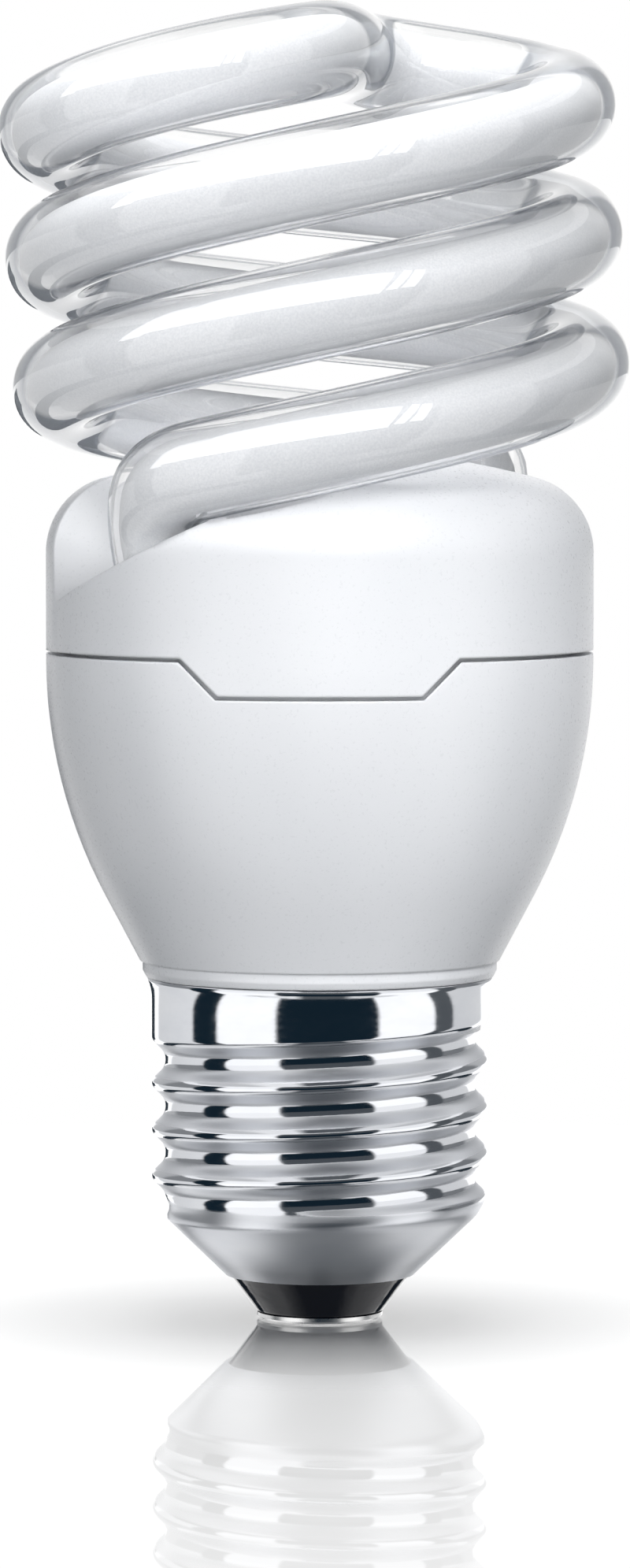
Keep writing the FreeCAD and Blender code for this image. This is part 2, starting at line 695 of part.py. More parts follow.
def make_axial_part(place, radius, length, pitch):
    """Small round body lying over the board, with its leads bent down through the board."""
    x, y, turn = place
    axis_z = BOARD_Z + BOARD_THICKNESS + BODY_LIFT + radius
    body = Part.makeCylinder(radius, length, Vector(-length / 2, 0, axis_z), Vector(1, 0, 0))
    low = BOARD_Z - LEAD_TAIL
    points = [(-pitch / 2, low), (-pitch / 2, axis_z), (pitch / 2, axis_z), (pitch / 2, low)]
    part = body.fuse(wire([Vector(along, 0, z) for along, z in points], LEAD_R))
    part.rotate(ORIGIN, UP, turn)
    part.translate(Vector(x, y, 0))
    return part


def make_driver_ring():
    """Ferrite ring over the middle of the board, and its three small windings."""
    bottom = BOARD_Z + BOARD_THICKNESS + RING_LIFT
    core = ring(RING_HOLE_R, RING_R, bottom, bottom + RING_HEIGHT)
    wall = RING_R - RING_HOLE_R
    middle_r = (RING_R + RING_HOLE_R) / 2
    turns = []
    for winding in range(3):
        for step in (-1, 0, 1):
            angle = 120.0 * winding + 90.0 + RING_TURN_STEP * step
            gap = 2 * (LEAD_R + SEAT_CLEARANCE)
            middle = (middle_r, 0.0)
            high = bottom + RING_HEIGHT + gap / 2 + LEAD_R
            low = bottom - gap / 2 - LEAD_R
            outside = block(middle, wall + gap + 2 * LEAD_R, 2 * LEAD_R, low, high)
            inside = block(middle, wall + gap - 2 * LEAD_R, 1, low + 2 * LEAD_R, high - 2 * LEAD_R)
            loop = outside.cut(inside)
            loop.rotate(ORIGIN, UP, angle)
            turns.append(loop)
    return core, Part.makeCompound(turns)


def on_board(place):
    """A place of the layout on the real board."""
    return place[0] * BOARD_FIT, place[1] * BOARD_FIT


def make_fusible_resistor():
    """Resistor in the cap: its lower lead ends in the contact's shank, its upper one in the board."""
    top = FUSE_BOTTOM_Z + FUSE_LENGTH
    body = rod(FUSE_R, FUSE_BOTTOM_Z, top)
    lower = rod(LEAD_R, CONTACT_THICKNESS, FUSE_BOTTOM_Z + 1)
    x, y = on_board(FUSE_BOARD_PLACE)
    bend = top + FUSE_LEAD_REACH
    points = [(0, 0, top - 1), (0, 0, bend), (x, y, bend + FUSE_LEAD_SLANT), (x, y, BOARD_Z + BOARD_THICKNESS)]
    upper = wire([Vector(*point) for point in points], LEAD_R)
    return body.multiFuse([lower, upper])


def make_shell_lead():
    """Wire from the board, down through the neck, to the inside of the shell."""
    x = on_board(SHELL_LEAD_PLACE)[0]
    neck_x = -(NECK_R - NECK_WALL - 3 * LEAD_R)
    end_x = -(CAP_R - CAP_SHEET - SOLDER_R / 2)
    end_z = CAP_TOP_Z - NECK_LENGTH - SHELL_LEAD_DROP
    points = [
        (x, BOARD_Z + BOARD_THICKNESS),
        (x, SHELL_LEAD_BEND_Z),
        (neck_x, COLLAR_TOP_Z),
        (neck_x, end_z + SHELL_LEAD_SLANT),
        (end_x, end_z),
    ]
    return wire([Vector(px, 0, pz) for px, pz in points], LEAD_R)


def make_shell_solder(lead):
    """Drop of solder that holds the lead to the inside of the shell."""
    inner_r = CAP_R - CAP_SHEET
    base = Vector(-inner_r, 0, CAP_TOP_Z - NECK_LENGTH - SHELL_LEAD_DROP)
    drop = Part.makeCone(SOLDER_R, SOLDER_R / 2, SOLDER_HEIGHT, base, Vector(1, 0, 0))
    return drop.common(rod(inner_r, 0, CAP_TOP_Z)).cut(lead)


def make_electrode_leads():
    """Two wires from each tube end to the pins beside it."""
    foot = at_leg(LEG_END_R, LEG_END_Z - LEAD_R / 2)
    leads = []
    for side, drop, place in zip((1, -1), PIN_WIRE_DROPS, PIN_PLACES):
        start = foot + Vector(side * PIN_LEAD_SPREAD, -side * PIN_LEAD_SPREAD, 0)
        pin_x, pin_y = on_board(place)
        height = BOARD_Z + (BOARD_THICKNESS + PIN_HEIGHT - drop) * BOARD_FIT
        corner = Vector(start.x, start.y, height)
        end = Vector(pin_x, pin_y + PIN_SIDE * BOARD_FIT / 2 + LEAD_R, height)
        leads.append(wire([start, corner, end], LEAD_R))
    return Part.makeCompound(with_twin(Part.makeCompound(leads)))


def make_wrap_pins():
    """Square pins on the board, two beside each leg."""
    top = BOARD_Z + BOARD_THICKNESS + PIN_HEIGHT
    pins = [block(place, PIN_SIDE, PIN_SIDE, BOARD_Z - LEAD_TAIL, top) for place in PIN_PLACES]
    return Part.makeCompound(with_twin(Part.makeCompound(pins)))


def make_leg_cement(strands):
    """Silicone pads under the floors of the scoops, one round each leg."""
    foot = at_leg(LEG_END_R, LEG_END_Z)
    room = rod(TONGUE_INNER_R - SEAT_CLEARANCE, LEG_END_Z, DOME_START_Z)
    room = room.common(above_scoop_floor(HOUSING_WALL + CEMENT_THICKNESS)).cut(scoop(HOUSING_WALL))
    back_bar, front_bar = end_bars(strands, 2, TUBE_R + SEAT_CLEARANCE)
    pad = rod(CEMENT_R, LEG_END_Z, DOME_START_Z, (-foot.x, -foot.y)).common(room)
    front, back = with_twin(pad)
    return front.cut(front_bar), back.cut(back_bar)


def make_board_layout():
    """The board and what stands on it or hangs under it, at the layout's size."""
    diodes = [make_axial_part(place, DIODE_R, DIODE_LENGTH, DIODE_LEAD_PITCH) for place in DIODE_PLACES]
    resistors = [make_axial_part(p, RESISTOR_R, RESISTOR_LENGTH, RESISTOR_LEAD_PITCH) for p in RESISTOR_PLACES]
    core, windings = make_driver_ring()
    pieces = {
        "circuit_board": make_circuit_board(),
        "electrolytic_capacitor": make_can_capacitor(),
        "resonance_capacitor": make_film_capacitor(RESONANCE_PLACE, RESONANCE_SIZE, RESONANCE_LEAD_PITCH),
        "filter_capacitor": make_film_capacitor(FILTER_PLACE, FILTER_SIZE, FILTER_LEAD_PITCH),
        "switching_transistors": Part.makeCompound([make_transistor(place) for place in TRANSISTOR_PLACES]),
        "rectifier_diodes": Part.makeCompound(diodes),
        "board_resistors": Part.makeCompound(resistors),
        "driver_core": core,
        "driver_windings": windings,
        "wrap_pins": make_wrap_pins(),
    }
    pieces.update(make_choke())
    return pieces


def main():
    """Build every piece and write it."""
    os.makedirs("parts", exist_ok=True)
    strands = tube_strands()
    save("spiral_glass_tube", make_spiral_tube(strands))
    save("tube_holder", make_tube_holder(strands))
    save("lower_housing", make_lower_housing(strands))
    save("screw_shell", make_screw_shell())
    save("glass_insulator", make_glass_insulator())
    save("centre_contact", make_centre_contact())
    for name, piece in make_board_layout().items():
        save(name, fitted(piece))
    save("fusible_resistor", make_fusible_resistor())
    sleeve_bottom = FUSE_BOTTOM_Z - SLEEVE_OVERHANG
    sleeve_top = FUSE_BOTTOM_Z + FUSE_LENGTH + SLEEVE_OVERHANG
    sleeve_r = FUSE_R + SEAT_CLEARANCE
    save("fusible_resistor_sleeve", ring(sleeve_r, sleeve_r + SLEEVE_WALL, sleeve_bottom, sleeve_top))
    lead = make_shell_lead()
    save("shell_lead", lead)
    save("shell_solder", make_shell_solder(lead))
    save("electrode_leads", make_electrode_leads())
    front_pad, back_pad = make_leg_cement(strands)
    save("leg_cement_front", front_pad)
    save("leg_cement_back", back_pad)


main()
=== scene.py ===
"""Spiral energy saving lamp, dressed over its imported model.

The lamp stands on its contact on a glossy white floor. The bent tube, the rolled screw shell and the
turned parts of the cap are made by Geometry Nodes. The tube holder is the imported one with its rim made
whole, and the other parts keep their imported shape. Sizes are in millimetres until a piece is made, and
metres after.
"""

import logging
import math
from dataclasses import dataclass, field
from enum import Enum
from typing import Any

import bmesh
import bpy
from mathutils import Matrix, Quaternion, Vector


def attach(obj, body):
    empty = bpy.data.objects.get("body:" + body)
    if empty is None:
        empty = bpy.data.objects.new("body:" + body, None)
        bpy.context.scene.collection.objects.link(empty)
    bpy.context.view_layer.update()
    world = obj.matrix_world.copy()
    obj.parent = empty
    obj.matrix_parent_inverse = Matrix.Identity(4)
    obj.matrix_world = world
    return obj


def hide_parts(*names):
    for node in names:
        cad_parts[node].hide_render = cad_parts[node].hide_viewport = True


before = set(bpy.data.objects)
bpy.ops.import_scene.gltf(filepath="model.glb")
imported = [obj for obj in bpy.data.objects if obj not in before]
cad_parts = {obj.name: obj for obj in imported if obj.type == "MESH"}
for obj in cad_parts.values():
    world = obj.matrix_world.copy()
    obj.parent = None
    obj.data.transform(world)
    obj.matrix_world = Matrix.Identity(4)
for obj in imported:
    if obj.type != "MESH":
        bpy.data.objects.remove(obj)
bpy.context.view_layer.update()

MM = 0.001
ROOT = "root"
# Noise gathers round its middle, so a pattern runs between these shares of it.
MOTTLE_SPREAD = (0.3, 0.7)
GRAIN_SPREAD = (0.25, 0.75)
EDGE_SAMPLES = 6
COLD_CAST = 0.012
LOG = logging.getLogger("lamp")
Source = bpy.types.Node | bpy.types.NodeSocket


# ---------------------------------------------------------------- helpers


def linear(colour: str) -> tuple[float, float, float, float]:
    """Turns an sRGB hex colour to linear.

    Args:
        colour: six hex digits after a hash sign.

    Returns:
        Linear red, green, blue and full alpha.
    """
    shares = [int(colour[place:place + 2], 16) / 255 for place in (1, 3, 5)]
    bright = [s / 12.92 if s <= 0.04045 else ((s + 0.055) / 1.055) ** 2.4 for s in shares]
    return (*bright, 1.0)


def add_node(
    tree: bpy.types.NodeTree, kind: str, inputs: dict[str | int, Any] | None = None, **settings: Any
) -> bpy.types.Node:
    """Adds one node with its settings, socket values and links.

    Args:
        tree: the tree that the node goes into.
        kind: the node's type name.
        inputs: socket names or numbers, each with a value, or with an output socket or a node, whose
            first output is meant, to link from.
        settings: the node's own properties.

    Returns:
        The new node.
    """
    node = tree.nodes.new(kind)
    for name, value in settings.items():
        setattr(node, name, value)
    for place, value in (inputs or {}).items():
        socket = node.inputs[place]
        if isinstance(value, bpy.types.Node):
            value = value.outputs[0]
        if isinstance(value, bpy.types.NodeSocket):
            tree.links.new(value, socket)
        else:
            socket.default_value = value
    return node


def shade_ramp(node: bpy.types.Node, stops: list[tuple[float, tuple[float, ...]]]) -> None:
    """Sets a colour ramp's stops.

    Args:
        node: the colour ramp.
        stops: places from 0 to 1, each with a linear colour.
    """
    elements = node.color_ramp.elements
    while len(elements) > 1:
        elements.remove(elements[-1])
    elements[0].position, elements[0].color = stops[0]
    for place, colour in stops[1:]:
        elements.new(place).color = colour


def link_object(name: str, data: bpy.types.ID) -> bpy.types.Object:
    """Makes an object of that data at the origin, in the scene."""
    thing = bpy.data.objects.new(name, data)
    bpy.context.scene.collection.objects.link(thing)
    return thing


def path_curve(name: str, points: list[Vector]) -> bpy.types.Object:
    """Makes a curve of one open run of points, for a tree to work on.

    Args:
        name: the object's name.
        points: places in millimetres.

    Returns:
        The curve object.
    """
    data = bpy.data.curves.new(name, "CURVE")
    data.dimensions = "3D"
    run = data.splines.new("POLY")
    run.points.add(len(points) - 1)
    for place, point in zip(run.points, points):
        place.co = (*(point * MM), 1.0)
    return link_object(name, data)


def grow(
    name: str, seed: bpy.types.Object, tree: bpy.types.NodeTree, values: dict[str, Any]
) -> bpy.types.Object:
    """Runs a Geometry Nodes tree on a seed object and keeps the result as a plain mesh.

    Args:
        name: the finished piece's name.
        seed: the object that the tree works on, which is removed afterwards.
        tree: the tree.
        values: the tree's inputs by name.

    Returns:
        The finished piece, with no modifiers.
    """
    modifier = seed.modifiers.new("build", "NODES")
    modifier.node_group = tree
    for item in tree.interface.items_tree:
        if item.item_type == "SOCKET" and item.in_out == "INPUT" and item.name in values:
            modifier[item.identifier] = values[item.name]
    graph = bpy.context.evaluated_depsgraph_get()
    mesh = bpy.data.meshes.new_from_object(seed.evaluated_get(graph))
    mesh.name = name
    bpy.data.objects.remove(seed)
    return link_object(name, mesh)


def ride(piece: bpy.types.Object, slot: str, *nodes: str) -> bpy.types.Object:
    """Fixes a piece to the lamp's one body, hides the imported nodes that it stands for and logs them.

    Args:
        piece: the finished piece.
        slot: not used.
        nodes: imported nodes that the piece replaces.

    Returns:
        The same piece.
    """
    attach(piece, ROOT)
    if nodes:
        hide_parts(*nodes)
    faces = len(piece.data.polygons)
    LOG.info("%s: %d faces, stands for %s", piece.name, faces, ", ".join(nodes) or "nothing")
    return piece


# ---------------------------------------------------------------- finishes


class Grain(Enum):
    """How a surface's fine relief was made."""

    SPARK_ERODED = "spark eroded mould"
    DRAWN = "drawn or rolled sheet"
    PRESSED = "pressed powder"
    WOUND = "wound wire"


@dataclass(frozen=True)
class Finish:
    """One real surface finish.

    Attributes:
        name: the material's common name and how its surface was made.
        colour: sRGB colour of the surface.
        second: sRGB colour of its mottling.
        roughness: middle of the roughness.
        roughness_swing: how far the roughness wanders from it.
        metallic: 1 for bare metal.
        ior: index of refraction; metals keep the default.
        coat: weight of a clear gloss over it.
        coat_roughness: roughness of that gloss.
        grain: how its relief was made.
        grain_mm: width of one grain.
        relief_mm: height of the relief.
        mottle_mm: width of the colour's mottling.
        mottle: how much of the second colour shows.
        edge_mm: radius that sharp edges are softened to.
    """

    name: str
    colour: str
    second: str
    roughness: float = 0.45
    roughness_swing: float = 0.08
    metallic: float = 0.0
    ior: float = 1.5
    coat: float = 0.0
    coat_roughness: float = 0.05
    grain: Grain = Grain.SPARK_ERODED
    grain_mm: float = 0.25
    relief_mm: float = 0.01
    mottle_mm: float = 3.0
    mottle: float = 0.5
    edge_mm: float = 0.0

    def material(self) -> bpy.types.Material:
        """Builds the material, or finds it where it was built before.

        Returns:
            The material.
        """
        key = self.name.replace(" ", "_")
        if key in bpy.data.materials:
            return bpy.data.materials[key]
        made = bpy.data.materials.new(key)
        made.use_nodes = True
        made.node_tree.nodes.clear()
        self.dress(made.node_tree)
        return made

    def pattern(self, tree: bpy.types.NodeTree, width_mm: float, detail: float) -> bpy.types.Node:
        """Adds noise of a real width, stretched round the axis on drawn and wound surfaces.

        Args:
            tree: the material's tree.
            width_mm: width of one grain.
            detail: octaves of the noise.

        Returns:
            The noise node.
        """
        stretch = {Grain.DRAWN: (0.35, 0.35, 1.0), Grain.WOUND: (0.2, 0.2, 1.0)}
        place = add_node(tree, "ShaderNodeTexCoord")
        turned = add_node(
            tree, "ShaderNodeMapping",
            {"Vector": place.outputs["Object"], "Scale": stretch.get(self.grain, (1.0, 1.0, 1.0))}
        )
        return add_node(
            tree, "ShaderNodeTexNoise", {"Vector": turned, "Scale": 1 / (width_mm * MM), "Detail": detail}
        )

    def dress(self, tree: bpy.types.NodeTree) -> None:
        """Fills the tree: mottled colour, wandering roughness and a fine relief.

        Args:
            tree: the material's empty tree.
        """
        mottling = self.pattern(tree, self.mottle_mm, 3.0)
        fine = self.pattern(tree, self.grain_mm, 2.0)
        share = add_node(
            tree, "ShaderNodeMapRange",
            {
                "Value": mottling, "From Min": MOTTLE_SPREAD[0], "From Max": MOTTLE_SPREAD[1],
                "To Max": self.mottle
            }
        )
        colour = add_node(
            tree, "ShaderNodeMix", {0: share, 6: linear(self.colour), 7: linear(self.second)},
            data_type="RGBA"
        )
        rough = add_node(
            tree, "ShaderNodeMapRange",
            {
                "Value": fine, "From Min": GRAIN_SPREAD[0], "From Max": GRAIN_SPREAD[1],
                "To Min": self.roughness - self.roughness_swing,
                "To Max": self.roughness + self.roughness_swing
            }
        )
        relief = add_node(tree, "ShaderNodeBump", {"Height": fine, "Distance": self.relief_mm * MM})
        if self.edge_mm:
            edge = add_node(tree, "ShaderNodeBevel", {"Radius": self.edge_mm * MM}, samples=EDGE_SAMPLES)
            tree.links.new(edge.outputs[0], relief.inputs["Normal"])
        shader = add_node(
            tree, "ShaderNodeBsdfPrincipled",
            {
                "Base Color": colour.outputs[2], "Roughness": rough, "Normal": relief,
                "Metallic": self.metallic, "IOR": self.ior, "Coat Weight": self.coat,
                "Coat Roughness": self.coat_roughness
            }
        )
        add_node(tree, "ShaderNodeOutputMaterial", {"Surface": shader})


@dataclass(frozen=True)
class ClearGlass(Finish):
    """Drawn soda-lime tube: clear, faintly wavy along its length, with painted shade in a dark line at its
    edges.

    Attributes:
        painted_edge_colour: sRGB colour of the painted shade that darkens the glass where it is seen edge on.
        painted_edge: where that painted shade starts and is full, as the facing share from 0 to 1.
    """

    painted_edge_colour: str = "#7F848C"
    painted_edge: tuple[float, float] = (0.68, 0.74)

    def dress(self, tree: bpy.types.NodeTree) -> None:
        """Fills the tree: clear glass that lets the lamps light the powder inside, with painted shade
        darkening its outer face where it is seen edge on.

        Args:
            tree: the material's empty tree.
        """
        streaks = self.pattern(tree, self.grain_mm, 1.0)
        facing = add_node(tree, "ShaderNodeLayerWeight", {"Blend": 0.5})
        # Painted shade: the outer face turns to the dark edge colour as it is seen more edge on.
        painted_edge = add_node(
            tree, "ShaderNodeMapRange",
            {"Value": facing.outputs["Facing"], "From Min": self.painted_edge[0], "From Max": self.painted_edge[1]},
            interpolation_type="SMOOTHSTEP"
        )
        side = add_node(tree, "ShaderNodeNewGeometry")
        outer = add_node(
            tree, "ShaderNodeMath", {0: painted_edge, 1: side.outputs["Backfacing"]}, operation="SUBTRACT",
            use_clamp=True
        )
        body = add_node(
            tree, "ShaderNodeMix", {0: outer, 6: linear(self.colour), 7: linear(self.painted_edge_colour)},
            data_type="RGBA"
        )
        relief = add_node(tree, "ShaderNodeBump", {"Height": streaks, "Distance": self.relief_mm * MM})
        glass = add_node(
            tree, "ShaderNodeBsdfPrincipled",
            {
                "Base Color": body.outputs[2], "Roughness": self.roughness, "IOR": self.ior,
                "Transmission Weight": 1.0, "Normal": relief
            }
        )
        light = add_node(tree, "ShaderNodeLightPath")
        passing = add_node(
            tree, "ShaderNodeMath", {0: light.outputs["Is Shadow Ray"], 1: light.outputs["Is Diffuse Ray"]},
            operation="MAXIMUM"
        )
        clear = add_node(tree, "ShaderNodeBsdfTransparent", {"Color": linear(self.second)})
        either = add_node(tree, "ShaderNodeMixShader", {0: passing, 1: glass, 2: clear})
        add_node(tree, "ShaderNodeOutputMaterial", {"Surface": either})


@dataclass(frozen=True)
class RolledPlating(Finish):
    """Bright plating over rolled sheet, satin where the rollers slid: on the flanks and the cone.

    Attributes:
        satin: roughness of the slopes.
        slope: shares of the upward direction in the normal, between which the satin sets in.
        crest_mm: radii between which the burnished crests take over from the flanks.
        foot_mm: heights between which the satin foot gives way to the bright thread.
    """

    satin: float = 0.36
    slope: tuple[float, float] = (0.3, 0.36)
    crest_mm: tuple[float, float] = (12.8, 12.95)
    foot_mm: tuple[float, float] = (9.2, 9.5)

    def dress(self, tree: bpy.types.NodeTree) -> None:
        """Fills the tree: the plain finish, rougher on the slopes.

        Args:
            tree: the material's empty tree.
        """
        super().dress(tree)
        shader = next(node for node in tree.nodes if node.bl_idname == "ShaderNodeBsdfPrincipled")
        bright = shader.inputs["Roughness"].links[0].from_socket
        place = add_node(tree, "ShaderNodeTexCoord")
        faces = add_node(tree, "ShaderNodeSeparateXYZ", {0: place.outputs["Normal"]})
        steep = add_node(tree, "ShaderNodeMath", {0: faces.outputs[2]}, operation="ABSOLUTE")
        sloping = add_node(
            tree, "ShaderNodeMapRange",
            {"Value": steep, "From Min": self.slope[0], "From Max": self.slope[1], "To Max": self.satin}
        )
        level = add_node(
            tree, "ShaderNodeVectorMath", {0: place.outputs["Object"], 1: (1.0, 1.0, 0.0)},
            operation="MULTIPLY"
        )
        out = add_node(tree, "ShaderNodeVectorMath", {0: level}, operation="LENGTH")
        below = add_node(
            tree, "ShaderNodeMapRange",
            {
                "Value": out.outputs["Value"], "From Min": self.crest_mm[0] * MM,
                "From Max": self.crest_mm[1] * MM, "To Min": 1.0, "To Max": 0.0
            }
        )
        share = add_node(tree, "ShaderNodeMath", {0: sloping, 1: below}, operation="MULTIPLY")
        height = add_node(tree, "ShaderNodeSeparateXYZ", {0: place.outputs["Object"]})
        foot = add_node(
            tree, "ShaderNodeMapRange",
            {
                "Value": height.outputs[2], "From Min": self.foot_mm[0] * MM,
                "From Max": self.foot_mm[1] * MM, "To Min": self.satin, "To Max": 0.0
            }
        )
        slopes = add_node(tree, "ShaderNodeMath", {0: foot, 1: share}, operation="MAXIMUM")
        rough = add_node(tree, "ShaderNodeMath", {0: bright, 1: slopes}, operation="MAXIMUM")
        tree.links.new(rough.outputs[0], shader.inputs["Roughness"])


@dataclass(frozen=True)
class PowderCoat(Finish):
    """Dried powder layer: chalk white, and thin enough for light from behind to glow through.

    Attributes:
        glow_through: share of the light that the layer passes on.
    """

    glow_through: float = 0.15

    def dress(self, tree: bpy.types.NodeTree) -> None:
        """Fills the tree: the plain finish, mixed with light that comes through the layer.

        Args:
            tree: the material's empty tree.
        """
        super().dress(tree)
        end = next(node for node in tree.nodes if node.bl_idname == "ShaderNodeOutputMaterial")
        surface = end.inputs["Surface"].links[0].from_socket
        through = add_node(tree, "ShaderNodeBsdfTranslucent", {"Color": linear(self.colour)})
        either = add_node(tree, "ShaderNodeMixShader", {0: self.glow_through, 1: surface, 2: through})
        tree.links.new(either.outputs[0], end.inputs["Surface"])


# Soda-lime glass, drawn into tube and bent: clear, with a faint waviness along the tube.
TUBE_GLASS = ClearGlass(
    "drawn_soda_lime_glass", "#FFFFFF", "#FFFFFF", roughness=0.0, ior=1.52, grain_mm=6.0, relief_mm=0.01
)
# Fluorescent powder, flushed in as a slurry and dried: chalk white with a fine sandy grain.
# The grains are far under 0.1 mm, so they are drawn coarser here, to show at all.
POWDER = PowderCoat(
    "dried_phosphor_powder", "#F4F5F7", "#DEE0E4", roughness=0.9, roughness_swing=0.05, grain=Grain.PRESSED,
    grain_mm=0.16, relief_mm=0.02, mottle_mm=0.16, mottle=0.7
)
# Moulded white polyester: satin, with the fine relief of the spark-eroded mould.
WHITE_POLYESTER = Finish(
    "moulded_white_polyester", "#EDEEF1", "#E8EAED", roughness=0.32, ior=1.53, grain_mm=0.22, relief_mm=0.004,
    mottle_mm=9.0, edge_mm=0.3
)
# Nickel-plated brass sheet, drawn and rolled: bright, with satin grain on the thread's flanks.
PLATED_CAP = RolledPlating(
    "nickel_plated_brass", "#DADCE0", "#C9CCD3", roughness=0.08, roughness_swing=0.03, metallic=1.0,
    grain=Grain.DRAWN, grain_mm=0.25, relief_mm=0.002, mottle_mm=2.0
)
# Cast black glass, fused between shell and contact: glossy, near black with a blue cast.
CAST_GLASS = Finish(
    "cast_black_glass", "#0A1020", "#0F1728", roughness=0.1, ior=1.36, grain=Grain.PRESSED, grain_mm=1.2,
    relief_mm=0.02, mottle_mm=2.5
)
# Tinned brass contact, stamped and soldered: bright with dull patches.
TINNED_BRASS = Finish(
    "stamped_tinned_brass", "#E2E2E2", "#CFCFCE", roughness=0.3, metallic=1.0, grain=Grain.DRAWN,
    grain_mm=0.4, relief_mm=0.01
)
# Glass-epoxy laminate with green solder resist: the weave shows faintly through the gloss.
EPOXY_BOARD = Finish(
    "solder_resist_on_laminate", "#2C5B3C", "#346A45", roughness=0.35, coat=0.2, grain_mm=0.6, relief_mm=0.02,
    mottle_mm=0.8
)
# Shrunk printed sleeve of the can capacitor, bare of print: dark blue and glossy.
SHRUNK_SLEEVE = Finish(
    "shrunk_pvc_sleeve", "#20242F", "#2A303F", roughness=0.3, coat=0.3, grain_mm=0.8, relief_mm=0.02
)
# Sintered ferrite: charcoal grey, dull and faintly pitted.
SINTERED_FERRITE = Finish(
    "sintered_ferrite", "#34353A", "#46474D", roughness=0.62, grain=Grain.PRESSED, grain_mm=0.2,
    relief_mm=0.03, mottle_mm=0.6
)
# Moulded nylon bobbin: cream and a little waxy.
MOULDED_NYLON = Finish("moulded_nylon", "#DDD6C4", "#D3CAB4", roughness=0.4, ior=1.53)
# Enamelled copper wire: lacquered red brown, ridged by its turns.
ENAMELLED_WIRE = Finish(
    "enamelled_copper_wire", "#B4622D", "#8F4820", roughness=0.28, metallic=1.0, coat=0.6, grain=Grain.WOUND,
    grain_mm=0.3, relief_mm=0.08
)
# Dipped epoxy of the film capacitors: brick red, glossy and uneven.
DIPPED_EPOXY = Finish(
    "dipped_red_epoxy", "#8A2F22", "#9C3B2B", roughness=0.25, coat=0.4, grain_mm=1.5, relief_mm=0.06
)
# Moulded epoxy of transistors and diodes: black and matt, finely eroded.
BLACK_EPOXY = Finish(
    "moulded_black_epoxy", "#17181A", "#222326", roughness=0.55, grain_mm=0.15, relief_mm=0.01
)
# Baked lacquer of the resistors: sandy beige with a soft gloss.
BAKED_LACQUER = Finish(
    "baked_beige_lacquer", "#C8AE84", "#B99D70", roughness=0.38, coat=0.2, grain_mm=0.7, relief_mm=0.03
)
# Woven glass sleeve: off-white and fibrous.
GLASS_SLEEVE = Finish(
    "braided_glass_sleeve", "#E6E2D6", "#CFC9B8", roughness=0.7, grain=Grain.WOUND, grain_mm=0.35,
    relief_mm=0.06, mottle_mm=0.5
)
# Hot-dipped tin on copper wire and solder: bright, slightly dull.
DIPPED_TIN = Finish(
    "hot_dipped_tin", "#CFD1D4", "#B7B9BD", roughness=0.26, metallic=1.0, grain=Grain.DRAWN, grain_mm=0.3,
    relief_mm=0.01
)
# Silicone cement: white, soft and slightly wet looking.
SILICONE = Finish(
    "cured_silicone_cement", "#E4E4E0", "#D8D8D2", roughness=0.42, ior=1.43, grain=Grain.PRESSED,
    grain_mm=1.5, relief_mm=0.15
)


# ---------------------------------------------------------------- Geometry Nodes trees


def new_tree(name: str, sizes: dict[str, float | int]) -> bpy.types.NodeTree:
    """Makes a Geometry Nodes tree with named inputs: its sizes and counts, and a material.

    Args:
        name: the tree's name.
        sizes: each size's or count's name and default value.

    Returns:
        The tree, which holds a Group Input node named "in".
    """
    tree = bpy.data.node_groups.new(name, "GeometryNodeTree")
    tree.is_modifier = True
    tree.interface.new_socket("Geometry", in_out="INPUT", socket_type="NodeSocketGeometry")
    for title, value in sizes.items():
        kind = "NodeSocketInt" if isinstance(value, int) else "NodeSocketFloat"
        tree.interface.new_socket(title, in_out="INPUT", socket_type=kind).default_value = value
    tree.interface.new_socket("Material", in_out="INPUT", socket_type="NodeSocketMaterial")
    tree.interface.new_socket("Geometry", in_out="OUTPUT", socket_type="NodeSocketGeometry")
    add_node(tree, "NodeGroupInput", name="in")
    return tree


def close_tree(tree: bpy.types.NodeTree, shape: Source) -> None:
    """Ends a tree: realised, shaded smooth and given the input's material.

    Args:
        tree: the tree.
        shape: where the finished geometry comes from.
    """
    real = add_node(tree, "GeometryNodeRealizeInstances", {0: shape})
    smooth = add_node(tree, "GeometryNodeSetShadeSmooth", {0: real})
    dressed = add_node(
        tree, "GeometryNodeSetMaterial", {0: smooth, "Material": tree.nodes["in"].outputs["Material"]}
    )
    add_node(tree, "NodeGroupOutput", {0: dressed})


